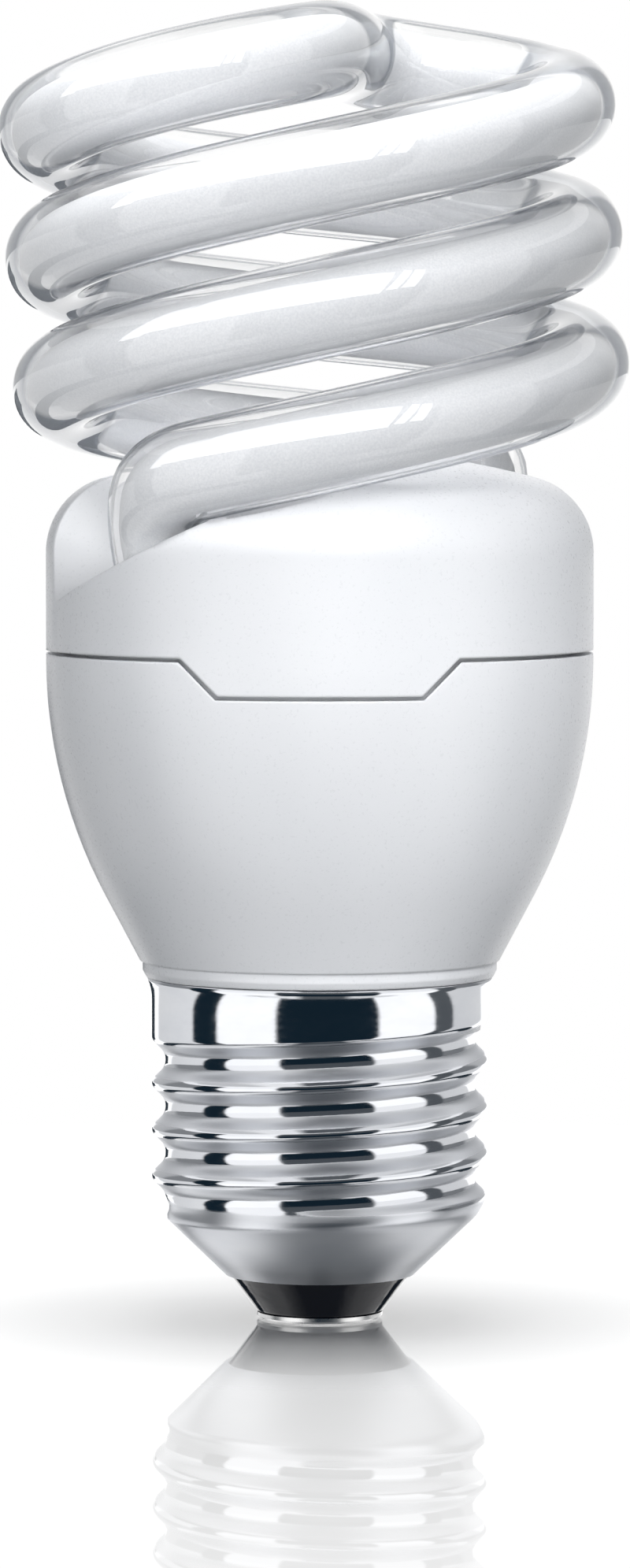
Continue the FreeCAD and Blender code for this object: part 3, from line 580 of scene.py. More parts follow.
def swept_tree() -> bpy.types.NodeTree:
    """Builds the tree that sweeps a round bar, or a tube with a closed hollow, along a path.

    Returns:
        The tree. Its inputs are Radius, Wall, Sides, End Gap and Material.
    """
    tree = new_tree("swept bar", {"Radius": 0.003, "Wall": 0.0, "Sides": 32, "End Gap": 0.0})
    ins = tree.nodes["in"].outputs

    def sweep(radius: Source, gap: Source) -> bpy.types.Node:
        """Adds the nodes that sweep one circle along the path, cut short at both ends."""
        length = add_node(tree, "GeometryNodeCurveLength", {0: ins["Geometry"]})
        rest = add_node(tree, "ShaderNodeMath", {0: length, 1: gap}, operation="SUBTRACT")
        cut = add_node(
            tree, "GeometryNodeTrimCurve", {"Curve": ins["Geometry"], 4: gap, 5: rest}, mode="LENGTH"
        )
        ring = add_node(
            tree, "GeometryNodeCurvePrimitiveCircle", {"Resolution": ins["Sides"], "Radius": radius}
        )
        return add_node(
            tree, "GeometryNodeCurveToMesh", {"Curve": cut, "Profile Curve": ring, "Fill Caps": True}
        )

    outside = sweep(ins["Radius"], ins["End Gap"])
    bore = add_node(tree, "ShaderNodeMath", {0: ins["Radius"], 1: ins["Wall"]}, operation="SUBTRACT")
    inset = add_node(tree, "ShaderNodeMath", {0: ins["End Gap"], 1: ins["Wall"]}, operation="ADD")
    hollow = sweep(bore, inset)
    turned = add_node(tree, "GeometryNodeFlipFaces", {0: hollow})
    both = add_node(tree, "GeometryNodeJoinGeometry", {0: turned})
    tree.links.new(outside.outputs[0], both.inputs[0])
    walled = add_node(
        tree, "FunctionNodeCompare", {0: ins["Wall"], 1: 0.0}, data_type="FLOAT", operation="GREATER_THAN"
    )
    shape = add_node(tree, "GeometryNodeSwitch", {0: walled, 1: outside, 2: both}, input_type="GEOMETRY")
    close_tree(tree, shape)
    return tree


def turned_tree() -> bpy.types.NodeTree:
    """Builds the tree that turns a closed outline about the axis and rolls a thread into it.

    The outline is the seed curve, with its points at (radius, 0, height). A thread wave is pressed
    into it between two of its crests, and runs out behind the axis at both ends.

    Returns:
        The tree. Its inputs are Rows, Around, Depth, Pitch, Phase, Last Crest, First Crest,
        Flatness, Crest Sharpness and Material.
    """
    tree = new_tree(
        "turned sheet",
        {
            "Rows": 10, "Around": 64, "Depth": 0.0, "Pitch": 1.0, "Phase": 0.0, "Last Crest": 0.0,
            "First Crest": 0.0, "Flatness": 0.0, "Crest Sharpness": 0.0
        }
    )
    ins = tree.nodes["in"].outputs

    def reckon(operation: str, *terms: Any, clamp: bool = False) -> bpy.types.NodeSocket:
        """Adds one step of arithmetic and returns its result."""
        return add_node(
            tree, "ShaderNodeMath", dict(enumerate(terms)), operation=operation, use_clamp=clamp
        ).outputs[0]

    rings = reckon("ADD", ins["Around"], 1.0)
    sheet = add_node(
        tree, "GeometryNodeMeshGrid",
        {"Size X": 1.0, "Size Y": 1.0, "Vertices X": rings, "Vertices Y": ins["Rows"]}
    )
    flat = add_node(tree, "GeometryNodeInputPosition")
    across = add_node(tree, "ShaderNodeSeparateXYZ", {0: flat})
    angle = reckon("MULTIPLY", reckon("ADD", across.outputs[0], 0.5), 2 * math.pi)
    last = reckon("SUBTRACT", ins["Rows"], 1.0)
    row = reckon("ROUND", reckon("MULTIPLY", reckon("ADD", across.outputs[1], 0.5), last))
    spot = add_node(tree, "GeometryNodeInputPosition")
    outline = add_node(
        tree, "GeometryNodeSampleIndex", {0: ins["Geometry"], "Value": spot, "Index": row},
        data_type="FLOAT_VECTOR", domain="POINT"
    )
    size = add_node(tree, "ShaderNodeSeparateXYZ", {0: outline})
    radius, height = size.outputs[0], size.outputs[2]
    climb = reckon("DIVIDE", reckon("SUBTRACT", height, ins["Phase"]), ins["Pitch"])
    phase = reckon("SUBTRACT", reckon("MULTIPLY", climb, 2 * math.pi), angle)
    ease = reckon("MULTIPLY", reckon("SINE", reckon("MULTIPLY", phase, 2.0)), ins["Flatness"])
    pinch = reckon("MULTIPLY", reckon("SINE", phase), ins["Crest Sharpness"])
    wave = reckon("COSINE", reckon("ADD", reckon("SUBTRACT", phase, ease), pinch))
    fall = reckon("MULTIPLY", reckon("SUBTRACT", 1.0, wave), 0.5)
    turns = reckon("DIVIDE", phase, 2 * math.pi)

    def run_out(
        beyond: str, crest: Source, further: float, spread: tuple[float, float], ends: tuple[float, float]
    ) -> bpy.types.NodeSocket:
        """Adds the share of the thread's depth past one crest, which fades round the back.

        Args:
            beyond: the comparison that holds past the crest.
            crest: the crest, counted in turns from the phase's height.
            further: how many turns past it the thread is gone altogether.
            spread: shares of a turn between which it fades.
            ends: how much of the depth is lost at each end of the spread.

        Returns:
            The share that is left.
        """
        past = reckon(beyond, turns, crest)
        gone = reckon(beyond, turns, reckon("ADD", crest, further))
        fade = add_node(
            tree, "ShaderNodeMapRange",
            {
                "Value": reckon("DIVIDE", angle, 2 * math.pi), "From Min": spread[0], "From Max": spread[1],
                "To Min": ends[0], "To Max": ends[1]
            },
            interpolation_type="SMOOTHSTEP"
        )
        lost = reckon("MULTIPLY", past, fade.outputs[0])
        return reckon("MULTIPLY", reckon("SUBTRACT", 1.0, lost), reckon("SUBTRACT", 1.0, gone))

    top = run_out("GREATER_THAN", ins["Last Crest"], 1.0, (0.05, 0.4), (0.0, 1.0))
    foot = run_out("LESS_THAN", ins["First Crest"], -1.0, (0.2, 0.45), (1.0, 0.0))
    share = reckon("MULTIPLY", reckon("MULTIPLY", top, foot), ins["Depth"])
    pressed = reckon("SUBTRACT", radius, reckon("MULTIPLY", fall, share))
    place = add_node(
        tree, "ShaderNodeCombineXYZ",
        {
            0: reckon("MULTIPLY", pressed, reckon("COSINE", angle)),
            1: reckon("MULTIPLY", pressed, reckon("SINE", angle)), 2: height
        }
    )
    shaped = add_node(tree, "GeometryNodeSetPosition", {0: sheet, "Position": place})
    joined = add_node(tree, "GeometryNodeMergeByDistance", {0: shaped, "Distance": 1e-6})
    close_tree(tree, joined)
    return tree


# ---------------------------------------------------------------- the bent tube


@dataclass
class CentreLine:
    """The bent tube's centre line, made of tangent arcs, in millimetres and degrees."""

    coil_r: float = 20.14
    lead: float = 20.0
    turn: float = 480.0
    lobe_z: float = 93.4
    bridge_rise: float = 5.2
    bridge_swing: float = 82.0
    bridge_flatten: float = 1.3
    bridge_offset: tuple[float, float] = (2.6, 3.0)
    bridge_steps: int = 200
    bridge_nodes: tuple[float, ...] = (0.0, 0.25, 0.5, 0.75)
    helix_step: float = 45.0
    lean: float = 3.17
    lean_pivot_z: float = 75.0
    leg_angle: float = 43.4
    leg_top: tuple[float, float] = (16.5, 60.0)
    leg_end: tuple[float, float] = (13.90, 50.0)

    def bridge(self, side: int) -> list[tuple[Vector, Vector]]:
        """Finds half the bridge, from its middle to the lobe at -X.

        Args:
            side: 1 or -1, the side of the axis that the middle lies on.

        Returns:
            Points with directions.
        """
        swing = math.radians(self.bridge_swing)
        shares = [1 - index / self.bridge_steps for index in range(self.bridge_steps + 1)]
        line = []
        for share in shares:
            radius = self.coil_r * math.sqrt(max(0.0, 1 - share * share))
            angle = math.pi + swing * share
            line.append(Vector((radius * math.cos(angle), radius * math.sin(angle), 0)))
        travel = [0.0]
        for before, after in zip(line, line[1:]):
            travel.append(travel[-1] + (after - before).length)

        def raised(index: int) -> Vector:
            """The line's point with its rise and its step aside."""
            fade = math.cos(math.pi / 2 * travel[index] / travel[-1])
            aside = Vector((*self.bridge_offset, 0)) * side * fade**2
            rise = self.lobe_z + self.bridge_rise * fade**self.bridge_flatten
            return line[index] + aside + Vector((0, 0, rise))

        nodes = []
        for share in self.bridge_nodes:
            index = next(i for i, gone in enumerate(travel) if gone >= share * travel[-1])
            direction = raised(index + 1) - raised(max(index - 1, 0))
            if index == 0:
                direction.z = 0
            nodes.append((raised(index), direction.normalized()))
        return nodes

    def helix(self) -> list[tuple[Vector, Vector]]:
        """Finds one strand, from the lobe at -X down to its leg, as points with directions."""
        count = round(self.turn / self.helix_step)
        drop = self.lead / (2 * math.pi)
        nodes = []
        for index in range(count + 1):
            turn = math.radians(self.turn * index / count)
            angle = math.pi - turn
            sine, cosine = math.sin(angle), math.cos(angle)
            point = Vector((self.coil_r * cosine, self.coil_r * sine, self.lobe_z - drop * turn))
            direction = Vector((self.coil_r * sine, -self.coil_r * cosine, -drop))
            nodes.append((point, direction.normalized()))
        return nodes

    def nodes(self) -> list[tuple[Vector, Vector]]:
        """Finds the whole line from leg to leg, as points with directions."""
        half_turn = Matrix.Diagonal((-1, -1, 1))
        tilt = Matrix.Rotation(math.radians(-self.lean), 3, "Y")
        pivot = Vector((0, 0, self.lean_pivot_z))
        leg = []
        for radius, height in (self.leg_top, self.leg_end):
            angle = math.radians(self.leg_angle)
            leg.append(Vector((radius * math.cos(angle), radius * math.sin(angle), height)))
        down = (leg[1] - leg[0]).normalized()
        back = self.bridge(1) + self.helix()
        front = [(half_turn @ p, half_turn @ d) for p, d in self.bridge(-1) + self.helix()]
        back, front = ([(pivot + tilt @ (p - pivot), tilt @ d) for p, d in part] for part in (back, front))
        back += [(point, down) for point in leg]
        front += [(half_turn @ point, half_turn @ down) for point in leg]
        return [(p, -d) for p, d in reversed(back)][:-1] + front

    @staticmethod
    def arc(start: Vector, leaving: Vector, end: Vector, step: float) -> list[Vector]:
        """Walks an arc from its start, which is left out, to its end.

        Args:
            start: the first point.
            leaving: the direction at the first point.
            end: the last point.
            step: how far apart the points are, in millimetres.

        Returns:
            The points.
        """
        chord = end - start
        bend = leaving.angle(chord)
        if bend < 1e-6:
            return [end]
        radius = chord.length / (2 * math.sin(bend))
        inward = leaving.cross(chord).normalized().cross(leaving)
        count = max(2, round(2 * bend * radius / step))
        turns = [2 * bend * index / count for index in range(1, count + 1)]
        return [start + leaving * radius * math.sin(t) + inward * radius * (1 - math.cos(t)) for t in turns]

    def points(self, step: float) -> list[Vector]:
        """Walks the whole line, two tangent arcs between each pair of its nodes.

        Args:
            step: how far apart the points are, in millimetres.

        Returns:
            The points.
        """
        nodes = self.nodes()
        walked = [nodes[0][0]]
        for (start, leaving), (end, arriving) in zip(nodes, nodes[1:]):
            chord = end - start
            spread = 2 * (1 - leaving.dot(arriving))
            pull = chord.dot(leaving + arriving)
            if spread < 1e-9:
                reach = chord.dot(chord) / (2 * pull)
            else:
                reach = (math.sqrt(pull**2 + spread * chord.dot(chord)) - pull) / spread
            first = start + leaving * reach
            last = end - arriving * reach
            join = (first + last) / 2
            walked += self.arc(start, leaving, join, step)
            walked += self.arc(join, (join - first).normalized(), end, step)
        return walked


@dataclass
class SpiralTube:
    """The sealed glass tube, with the powder on its inner wall."""

    radius: float = 3.8145
    wall: float = 0.25
    sides: int = 56
    powder_r: float = 2.98
    powder_sides: int = 40
    step: float = 0.8
    line: CentreLine = field(default_factory=CentreLine)
    powder_line: CentreLine = field(default_factory=lambda: CentreLine(coil_r=19.85, lobe_z=93.2))

    def build(self) -> list[bpy.types.Object]:
        """Sweeps the clear wall and the powder inside it.

        Returns:
            The clear tube and the powder.
        """
        tree = swept_tree()
        glass = grow(
            "clear_glass_tube", path_curve("glass_path", self.line.points(self.step)), tree,
            {
                "Radius": self.radius * MM, "Wall": self.wall * MM, "Sides": self.sides,
                "Material": TUBE_GLASS.material()
            }
        )
        powder = grow(
            "phosphor_coat", path_curve("powder_path", self.powder_line.points(self.step)), tree,
            {
                "Radius": self.powder_r * MM, "Sides": self.powder_sides,
                "End Gap": (self.radius - self.powder_r) * MM, "Material": POWDER.material()
            }
        )
        return [ride(glass, "glass", "spiral_glass_tube"), ride(powder, "glass", "spiral_glass_tube")]


# ---------------------------------------------------------------- the cap


@dataclass
class ScrewCap:
    """The screw shell with its rolled thread, the glass below it and the lead soldered inside it."""

    crest_r: float = 13.1
    sheet: float = 0.4
    top_z: float = 26.7
    lip_flare: float = 0.4
    lip_height: float = 1.8
    shoulder: tuple[tuple[float, float], ...] = (
        (12.0, 7.8), (12.28, 8.1), (12.5, 8.45), (12.75, 8.9), (13.1, 9.6)
    )
    cone_inset: float = 5.7
    cone_z: float = 3.4
    pitch: float = 3.629
    depth: float = 1.05
    crest_z: float = 12.91
    last_crest: float = 2.0
    first_crest: float = -1.0
    row_mm: float = 0.12
    flatness: float = 0.05
    sharpness: float = 0.3
    insulator: tuple[tuple[float, float], ...] = (
        (4.85, 0.45), (5.05, 0.72), (5.9, 1.85), (6.7, 2.9), (7.1, 3.38), (10.5, 7.2), (2.0, 7.2), (2.0, 0.45)
    )
    lead_r: float = 0.3
    lead_route: tuple[tuple[float, float], ...] = (
        (-13.8, 44.6), (-13.8, 38.0), (-10.35, 28.0), (-10.35, 20.4), (-12.1, 18.35)
    )
    lead_sides: int = 12
    drop_r: float = 0.85
    drop_flat: float = 0.55
    drop_slump: float = 0.25
    around: int = 192

    def skin(self, inset: float) -> list[Vector]:
        """Draws the shell's outline from its cone up to its lip, moved inwards.

        Args:
            inset: how far inside the outer skin it lies.

        Returns:
            Points at (radius, 0, height), close together where the thread is rolled.
        """
        corners = [(self.crest_r - self.cone_inset, self.cone_z), *self.shoulder]
        rise = self.top_z - self.lip_height - corners[-1][1]
        rows = round(rise / self.row_mm)
        straight = [(self.crest_r, corners[-1][1] + rise * i / rows) for i in range(1, rows + 1)]
        lip = []
        for share in (0.25, 0.5, 0.75, 1.0):
            flare = self.lip_flare * share**2
            lip.append((self.crest_r + flare, self.top_z - self.lip_height * (1.0 - share)))
        return [Vector((radius - inset, 0, height)) for radius, height in corners + straight + lip]

    def turn(self, name: str, outline: list[Vector], finish: Finish, **rolled: float) -> bpy.types.Object:
        """Turns a closed outline about the axis.

        Args:
            name: the piece's name.
            outline: points at (radius, 0, height), which need not be closed.
            finish: the piece's finish.
            rolled: the thread's inputs.

        Returns:
            The finished piece.
        """
        closed = outline + [outline[0]]
        values = {"Rows": len(closed), "Around": self.around, "Material": finish.material()}
        values.update({title.replace("_", " "): size for title, size in rolled.items()})
        return grow(name, path_curve(f"{name}_outline", closed), turned_tree(), values)

    def build(self) -> list[bpy.types.Object]:
        """Rolls the shell, turns the glass, and sweeps the lead with its drop of solder.

        Returns:
            The new pieces.
        """
        outline = self.skin(0.0) + self.skin(self.sheet)[::-1]
        shell = self.turn(
            "rolled_screw_shell", outline, PLATED_CAP, Depth=self.depth * MM, Pitch=self.pitch * MM,
            Phase=self.crest_z * MM, Last_Crest=self.last_crest, First_Crest=self.first_crest,
            Flatness=self.flatness, Crest_Sharpness=self.sharpness
        )
        glass = self.turn("cast_insulator", self.insulator_outline(), CAST_GLASS)
        lead = grow(
            "soldered_shell_lead", path_curve("lead_path", [Vector((x, 0, z)) for x, z in self.lead_route]),
            swept_tree(),
            {"Radius": self.lead_r * MM, "Sides": self.lead_sides, "Material": DIPPED_TIN.material()}
        )
        return [
            ride(shell, "cap_metal", "screw_shell"), ride(glass, "black_glass", "glass_insulator"),
            ride(lead, "tinned_wire", "shell_lead"), ride(self.solder(), "tinned_wire", "shell_solder")
        ]

    def insulator_outline(self) -> list[Vector]:
        """Draws the cast glass: a cone from the shell down to the contact, and its plug inside."""
        return [Vector((radius, 0, height)) for radius, height in self.insulator]

    def solder(self) -> bpy.types.Object:
        """Casts the drop of solder that holds the lead inside a crest of the thread.

        Returns:
            The drop.
        """
        mesh = bpy.data.meshes.new("solder_drop")
        form = bmesh.new()
        bmesh.ops.create_icosphere(form, subdivisions=3, radius=self.drop_r)
        for corner in form.verts:
            side, _, rise = corner.co
            slump = 1.0 - self.drop_slump * rise / self.drop_r
            corner.co.x = side * self.drop_flat * slump
            corner.co.y *= slump
        form.to_mesh(mesh)
        form.free()
        end_x, end_z = self.lead_route[-1]
        mesh.transform(Matrix.Scale(MM, 4) @ Matrix.Translation((end_x, 0, end_z)))
        mesh.shade_smooth()
        mesh.materials.append(DIPPED_TIN.material())
        return link_object("solder_drop", mesh)


# ---------------------------------------------------------------- the tube holder


@dataclass
class RimmedHolder:
    """The tube holder, whose rim passes in front of each leg. Millimetres and degrees.

    The rim's top lies on the sloping floor of the scoop: a plane through floor_z on the axis, which
    rises by floor_lean for each millimetre along X and Y. Its ends and foot sink into the wall.
    """

    outer_r: float = 21.285
    inner_r: float = 19.75
    foot_z: float = 54.0
    dome_z: float = 59.7
    dome_edge_r: float = 6.0
    span: tuple[float, float] = (-155.0, -110.0)
    end_fade: float = 5.0
    foot_fade: float = 1.6
    sink: float = 0.1
    floor_z: float = 63.15
    floor_lean: tuple[float, float] = (0.3981, -0.1438)
    columns: int = 45
    rows: int = 10
    settling_rounds: int = 6
    leg_room: float = 0.15
    leg_length: float = 17.0
    leg_sides: int = 48
    weld: float = 1e-7
    sharp_angle: float = 30.0

    def floor(self, radius: float, angle: float) -> float:
        """Height of the scoop's floor at a radius and an angle."""
        across, along = self.floor_lean
        return self.floor_z + radius * (across * math.cos(angle) + along * math.sin(angle))

    def wall_r(self, height: float) -> float:
        """Outer radius at a height, on the wall or on the dome's round edge."""
        over = max(0.0, height - self.dome_z) / self.dome_edge_r
        return self.outer_r - self.dome_edge_r * (1 - math.sqrt(1 - over**2))

    def column(self, angle: float) -> list[Vector]:
        """Walks round the rim's section at one angle.

        Args:
            angle: angle about the axis, in radians.

        Returns:
            Points, up the outside and down the inside.
        """
        top = self.floor(self.outer_r, angle)
        for _ in range(self.settling_rounds):
            top = self.floor(self.wall_r(top), angle)
        turned = math.degrees(angle)
        end_share = min(1.0, (turned - self.span[0]) / self.end_fade, (self.span[1] - turned) / self.end_fade)
        heights = [self.foot_z + (top - self.foot_z) * row / self.rows for row in range(self.rows + 1)]
        ring = []
        for height in heights:
            share = max(0.0, min(end_share, (height - self.foot_z) / self.foot_fade))
            ring.append((self.wall_r(height) - self.sink * (1 - share), height))
        ring += [(self.inner_r, self.floor(self.inner_r, angle)), (self.inner_r, self.foot_z)]
        return [Vector((r * math.cos(angle), r * math.sin(angle), z)) for r, z in ring]

    def rim(self, turn: float) -> bpy.types.Object:
        """Makes the stretch of rim in front of one leg.

        Args:
            turn: how far round the axis it stands from the front leg, in degrees.

        Returns:
            The closed form.
        """
        mesh = bpy.data.meshes.new("rim")
        form = bmesh.new()
        start, end = (math.radians(angle) for angle in self.span)
        rings = []
        for step in range(self.columns + 1):
            points = self.column(start + (end - start) * step / self.columns)
            rings.append([form.verts.new(point * MM) for point in points])
        for before, after in zip(rings, rings[1:]):
            for index in range(len(before)):
                form.faces.new((before[index - 1], before[index], after[index], after[index - 1]))
        form.faces.new(rings[0])
        form.faces.new(rings[-1])
        bmesh.ops.recalc_face_normals(form, faces=form.faces)
        form.to_mesh(mesh)
        form.free()
        mesh.transform(Matrix.Rotation(math.radians(turn), 4, "Z"))
        return link_object("rim", mesh)

    def build(self, tube: SpiralTube) -> bpy.types.Object:
        """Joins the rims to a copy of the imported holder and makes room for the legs.

        Args:
            tube: the tube whose legs go in.

        Returns:
            The finished holder.
        """
        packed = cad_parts["tube_holder"]
        mesh = packed.data.copy()
        form = bmesh.new()
        form.from_mesh(mesh)
        form.transform(packed.matrix_world)
        bmesh.ops.remove_doubles(form, verts=form.verts, dist=self.weld)
        form.to_mesh(mesh)
        form.free()
        holder = link_object("holder_blank", mesh)
        points = tube.line.points(tube.step)
        count = round(self.leg_length / tube.step)
        plastic = WHITE_POLYESTER.material()
        sizes = {"Radius": (tube.radius + self.leg_room) * MM, "Sides": self.leg_sides, "Material": plastic}
        bars = []
        for name, run in (("back_leg", points[:count]), ("front_leg", points[-count:])):
            bars.append(grow(name, path_curve(f"{name}_path", run), swept_tree(), sizes))
        tools = [(self.rim(0.0), "UNION"), (self.rim(180.0), "UNION"), *((bar, "DIFFERENCE") for bar in bars)]
        for tool, operation in tools:
            cut = holder.modifiers.new("cut", "BOOLEAN")
            cut.solver = "EXACT"
            cut.operation = operation
            cut.object = tool
        graph = bpy.context.evaluated_depsgraph_get()
        made = bpy.data.meshes.new_from_object(holder.evaluated_get(graph))
        for thing in (holder, *(tool for tool, _ in tools)):
            bpy.data.objects.remove(thing)
        made.materials.clear()
        made.materials.append(plastic)
        made.shade_smooth()
        made.set_sharp_from_angle(angle=math.radians(self.sharp_angle))
        return ride(link_object("rimmed_tube_holder", made), "white_plastic", "tube_holder")


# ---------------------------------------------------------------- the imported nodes


@dataclass
class PackedPart:
    """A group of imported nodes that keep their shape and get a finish."""

    finishes: dict[str, Finish]

    def dress(self) -> None:
        """Gives each node its material."""
        for name, finish in self.finishes.items():
            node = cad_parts[name]
            node.data.materials.clear()
            node.data.materials.append(finish.material())
            LOG.info("%s: %s", name, finish.name)


MOULDINGS = PackedPart({"lower_housing": WHITE_POLYESTER})
CAP_FOOT = PackedPart({"centre_contact": TINNED_BRASS})
BALLAST = PackedPart(
    {
        "circuit_board": EPOXY_BOARD, "electrolytic_capacitor": SHRUNK_SLEEVE, "choke_core": SINTERED_FERRITE,
        "driver_core": SINTERED_FERRITE, "choke_bobbin": MOULDED_NYLON, "choke_winding": ENAMELLED_WIRE,
        "driver_windings": ENAMELLED_WIRE, "resonance_capacitor": DIPPED_EPOXY,
        "filter_capacitor": DIPPED_EPOXY, "switching_transistors": BLACK_EPOXY,
        "rectifier_diodes": BLACK_EPOXY, "board_resistors": BAKED_LACQUER, "fusible_resistor": BAKED_LACQUER,
        "fusible_resistor_sleeve": GLASS_SLEEVE, "electrode_leads": DIPPED_TIN, "wrap_pins": DIPPED_TIN,
        "leg_cement_front": SILICONE, "leg_cement_back": SILICONE
    }
)


# ---------------------------------------------------------------- the studio


@dataclass(frozen=True)
class Pane:
    """One soft lamp: a lit rectangle that faces the lamp on the floor.

    Attributes:
        name: the lamp's name.
        place: its middle, in metres.
        aim: the point that it faces, in metres.
        size: its width and height, in metres.
        radiance: how bright its face is, where 1 renders as white.
        mirrored: whether gloss and metal show it.
        roll: how far it is turned in its own plane, in degrees.
    """

    name: str
    place: tuple[float, float, float]
    aim: tuple[float, float, float]
    size: tuple[float, float]
    radiance: float
    mirrored: bool = True
    roll: float = 0.0

    def build(self) -> bpy.types.Object:
        """Hangs the lamp.

        Returns:
            The lamp.
        """
        data = bpy.data.lights.new(self.name, "AREA")
        data.shape = "RECTANGLE"
        data.size, data.size_y = self.size
        data.energy = self.radiance * math.pi * self.size[0] * self.size[1]
        lamp = link_object(self.name, data)
        lamp.location = self.place
        facing = (Vector(self.aim) - Vector(self.place)).to_track_quat("-Z", "Y")
        lamp.rotation_euler = (facing @ Quaternion((0, 0, 1), math.radians(self.roll))).to_euler()
        lamp.visible_camera = False
        lamp.visible_glossy = self.mirrored
        lamp.visible_transmission = self.mirrored
        return lamp


@dataclass
class Studio:
    """The white floor, the soft lamps, the surroundings and the camera.

    Lengths are in metres, or in millimetres for the floor's mirror and shade. Azimuths are in degrees
    from the front, and a height is the upward share of a direction. Walls are azimuths with linear levels.

    Attributes:
        mirror_reach: how far from the lamp's foot the floor's mirror fades out.
        shade_reach: between which distances the floor's shade gives way to plain white.
        window_panes: each pane's name, left and right edge in degrees, and roll.
        fill, rim: the soft light from the room's sides and from right behind.
        panel_z: heights that the walls stand between; level_z parts low walls from high ones.
        strip_half: half the height of the light strip above the walls.
        painted_shadow_z: heights between which the dark patch straight below the lamp sets in: painted shadow
            of the floor under the lamp, as gloss sees it.
        seam: height, half height and tip towards the front of the dark line where wall meets floor.
        corner: azimuth, its half width, height and its half height of one dark corner.
        lit: the collections of pieces that the window, the key and the coil's lamp light.
    """

    eye: tuple[float, float, float] = (0.0, -0.53, 0.07325)
    lens: float = 156.6
    sensor_width: float = 36.0
    clip_start: float = 0.01
    tilt: float = 3.41
    pan: float = 0.04
    disc_sides: int = 128
    floor_r: float = 0.14
    backdrop_r: float = 4.0
    floor_drop: float = 0.0001
    floor_ior: float = 1.45
    floor_roughness: float = 0.015
    mirror_reach: float = 220.0
    shade_reach: tuple[float, float] = (20.0, 45.0)
    window_azimuth: float = -22.5
    window_distance: float = 0.7
    window_foot: float = 0.28
    window_height: float = 1.0
    window_radiance: float = 3.5
    window_panes: tuple[tuple[str, float, float, float], ...] = (
        ("a", -59.5, -50.0, 0.0), ("b", -49.0, 46.0, -5.0), ("c", 49.0, 53.0, -10.0), ("d", 54.5, 59.5, -10.0)
    )
    overhead: Pane = Pane("overhead", (0.0, 0.0, 1.0), (0.0, 0.0, 0.0), (0.45, 0.45), 14.0, False)
    front: Pane = Pane("front", (0.0, -0.75, 0.15), (0.0, 0.0, 0.06), (0.5, 0.5), 5.0, False)
    coil: Pane = Pane("coil", (-0.12, -0.74, 0.2), (0.0, 0.0, 0.08), (0.5, 0.5), 6.4, False)
    key: Pane = Pane("key", (0.3, -0.5, 0.6), (0.0, 0.0, 0.06), (0.3, 0.3), 9.0, False)
    fill: float = 0.15
    rim: float = 0.9
    rim_azimuths: tuple[float, float] = (135.0, 158.0)
    panel_z: tuple[float, float] = (-0.6, 0.5)
    level_z: float = -0.02
    low_walls: tuple[tuple[float, float], ...] = (
        (-180, 1.4), (-147, 1.4), (-145, 0.85), (-98, 1.0), (-96, 0.02), (-76, 0.02), (-74, 1.45),
        (-31, 1.45), (-29, 0.02), (40, 0.02), (42, 1.45), (85, 1.45), (87, 0.12), (103, 0.12), (105, 0.85),
        (145, 0.85), (147, 1.4), (180, 1.4)
    )
    high_walls: tuple[tuple[float, float], ...] = (
        (-180, 1.2), (-168, 1.2), (-165, 0.6), (-140, 0.55), (-132, 0.3), (-98, 0.3), (-96, 0.02),
        (-76, 0.02), (-74, 1.3), (-31, 1.3), (-29, 0.1), (40, 0.1), (42, 1.2), (85, 1.2), (87, 0.12),
        (103, 0.12), (105, 0.25), (132, 0.25), (140, 0.55), (165, 0.6), (168, 1.2), (180, 1.2)
    )
    # Levels that gloss sees where no wall or strip is, mostly as the floor below, across the sideways share
    # of a direction; the dark middle is painted shadow of the floor round the lamp's foot.
    ground_with_painted_shadow: tuple[tuple[float, float], ...] = (
        (-1.0, 0.75), (-0.6, 0.75), (-0.5, 1.1), (-0.26, 1.1), (-0.16, 0.13), (0.24, 0.13), (0.34, 0.95),
        (0.55, 0.95), (0.65, 0.7), (1.0, 0.75)
    )
    # Painted shadow: a darker patch straight below the lamp, standing in for the floor shaded under it.
    painted_shadow_z: tuple[float, float] = (-0.88, -0.97)
    painted_shadow_level: float = 0.2
    strip_half: float = 0.05
    strip_level: float = 1.2
    seam: tuple[float, float, float] = (-0.67, 0.055, 0.28)
    corner: tuple[float, float, float, float] = (-165.0, 8.0, -0.12, 0.07)
    shady_level: float = 0.035
    lit: dict[str, bpy.types.Collection] = field(
        default_factory=lambda: {
            name: bpy.data.collections.new(f"{name}_lit") for name in ("window", "key", "coil")
        }
    )

    def camera(self) -> None:
        """Sets the camera where the photograph was taken from."""
        data = bpy.data.cameras.new("camera")
        data.lens = self.lens
        data.sensor_width = self.sensor_width
        data.clip_start = self.clip_start
        data.dof.use_dof = False
        camera = link_object("camera", data)
        camera.location = self.eye
        camera.rotation_euler = (math.radians(90 - self.tilt), 0, math.radians(self.pan))
        bpy.context.scene.camera = camera

    def disc(
        self, name: str, surface: str, radius: float, drop: float
    ) -> tuple[bpy.types.Object, bpy.types.NodeTree]:
        """Lays a round sheet under the lamp, which is part of the stage.

        Args:
            name: the sheet's name.
            surface: its material's name.
            radius: its radius in metres.
            drop: how far it lies under the lamp's foot, in metres.

        Returns:
            The sheet, and its material's empty tree.
        """
        mesh = bpy.data.meshes.new(name)
        form = bmesh.new()
        bmesh.ops.create_circle(form, cap_ends=True, segments=self.disc_sides, radius=radius)
        form.to_mesh(mesh)
        form.free()
        mesh.transform(Matrix.Translation((0, 0, -drop)))
        sheet = link_object(name, mesh)
        sheet.visible_glossy = False
        sheet.visible_diffuse = False
        made = bpy.data.materials.new(surface)
        made.use_nodes = True
        made.node_tree.nodes.clear()
        mesh.materials.append(made)
        return sheet, made.node_tree

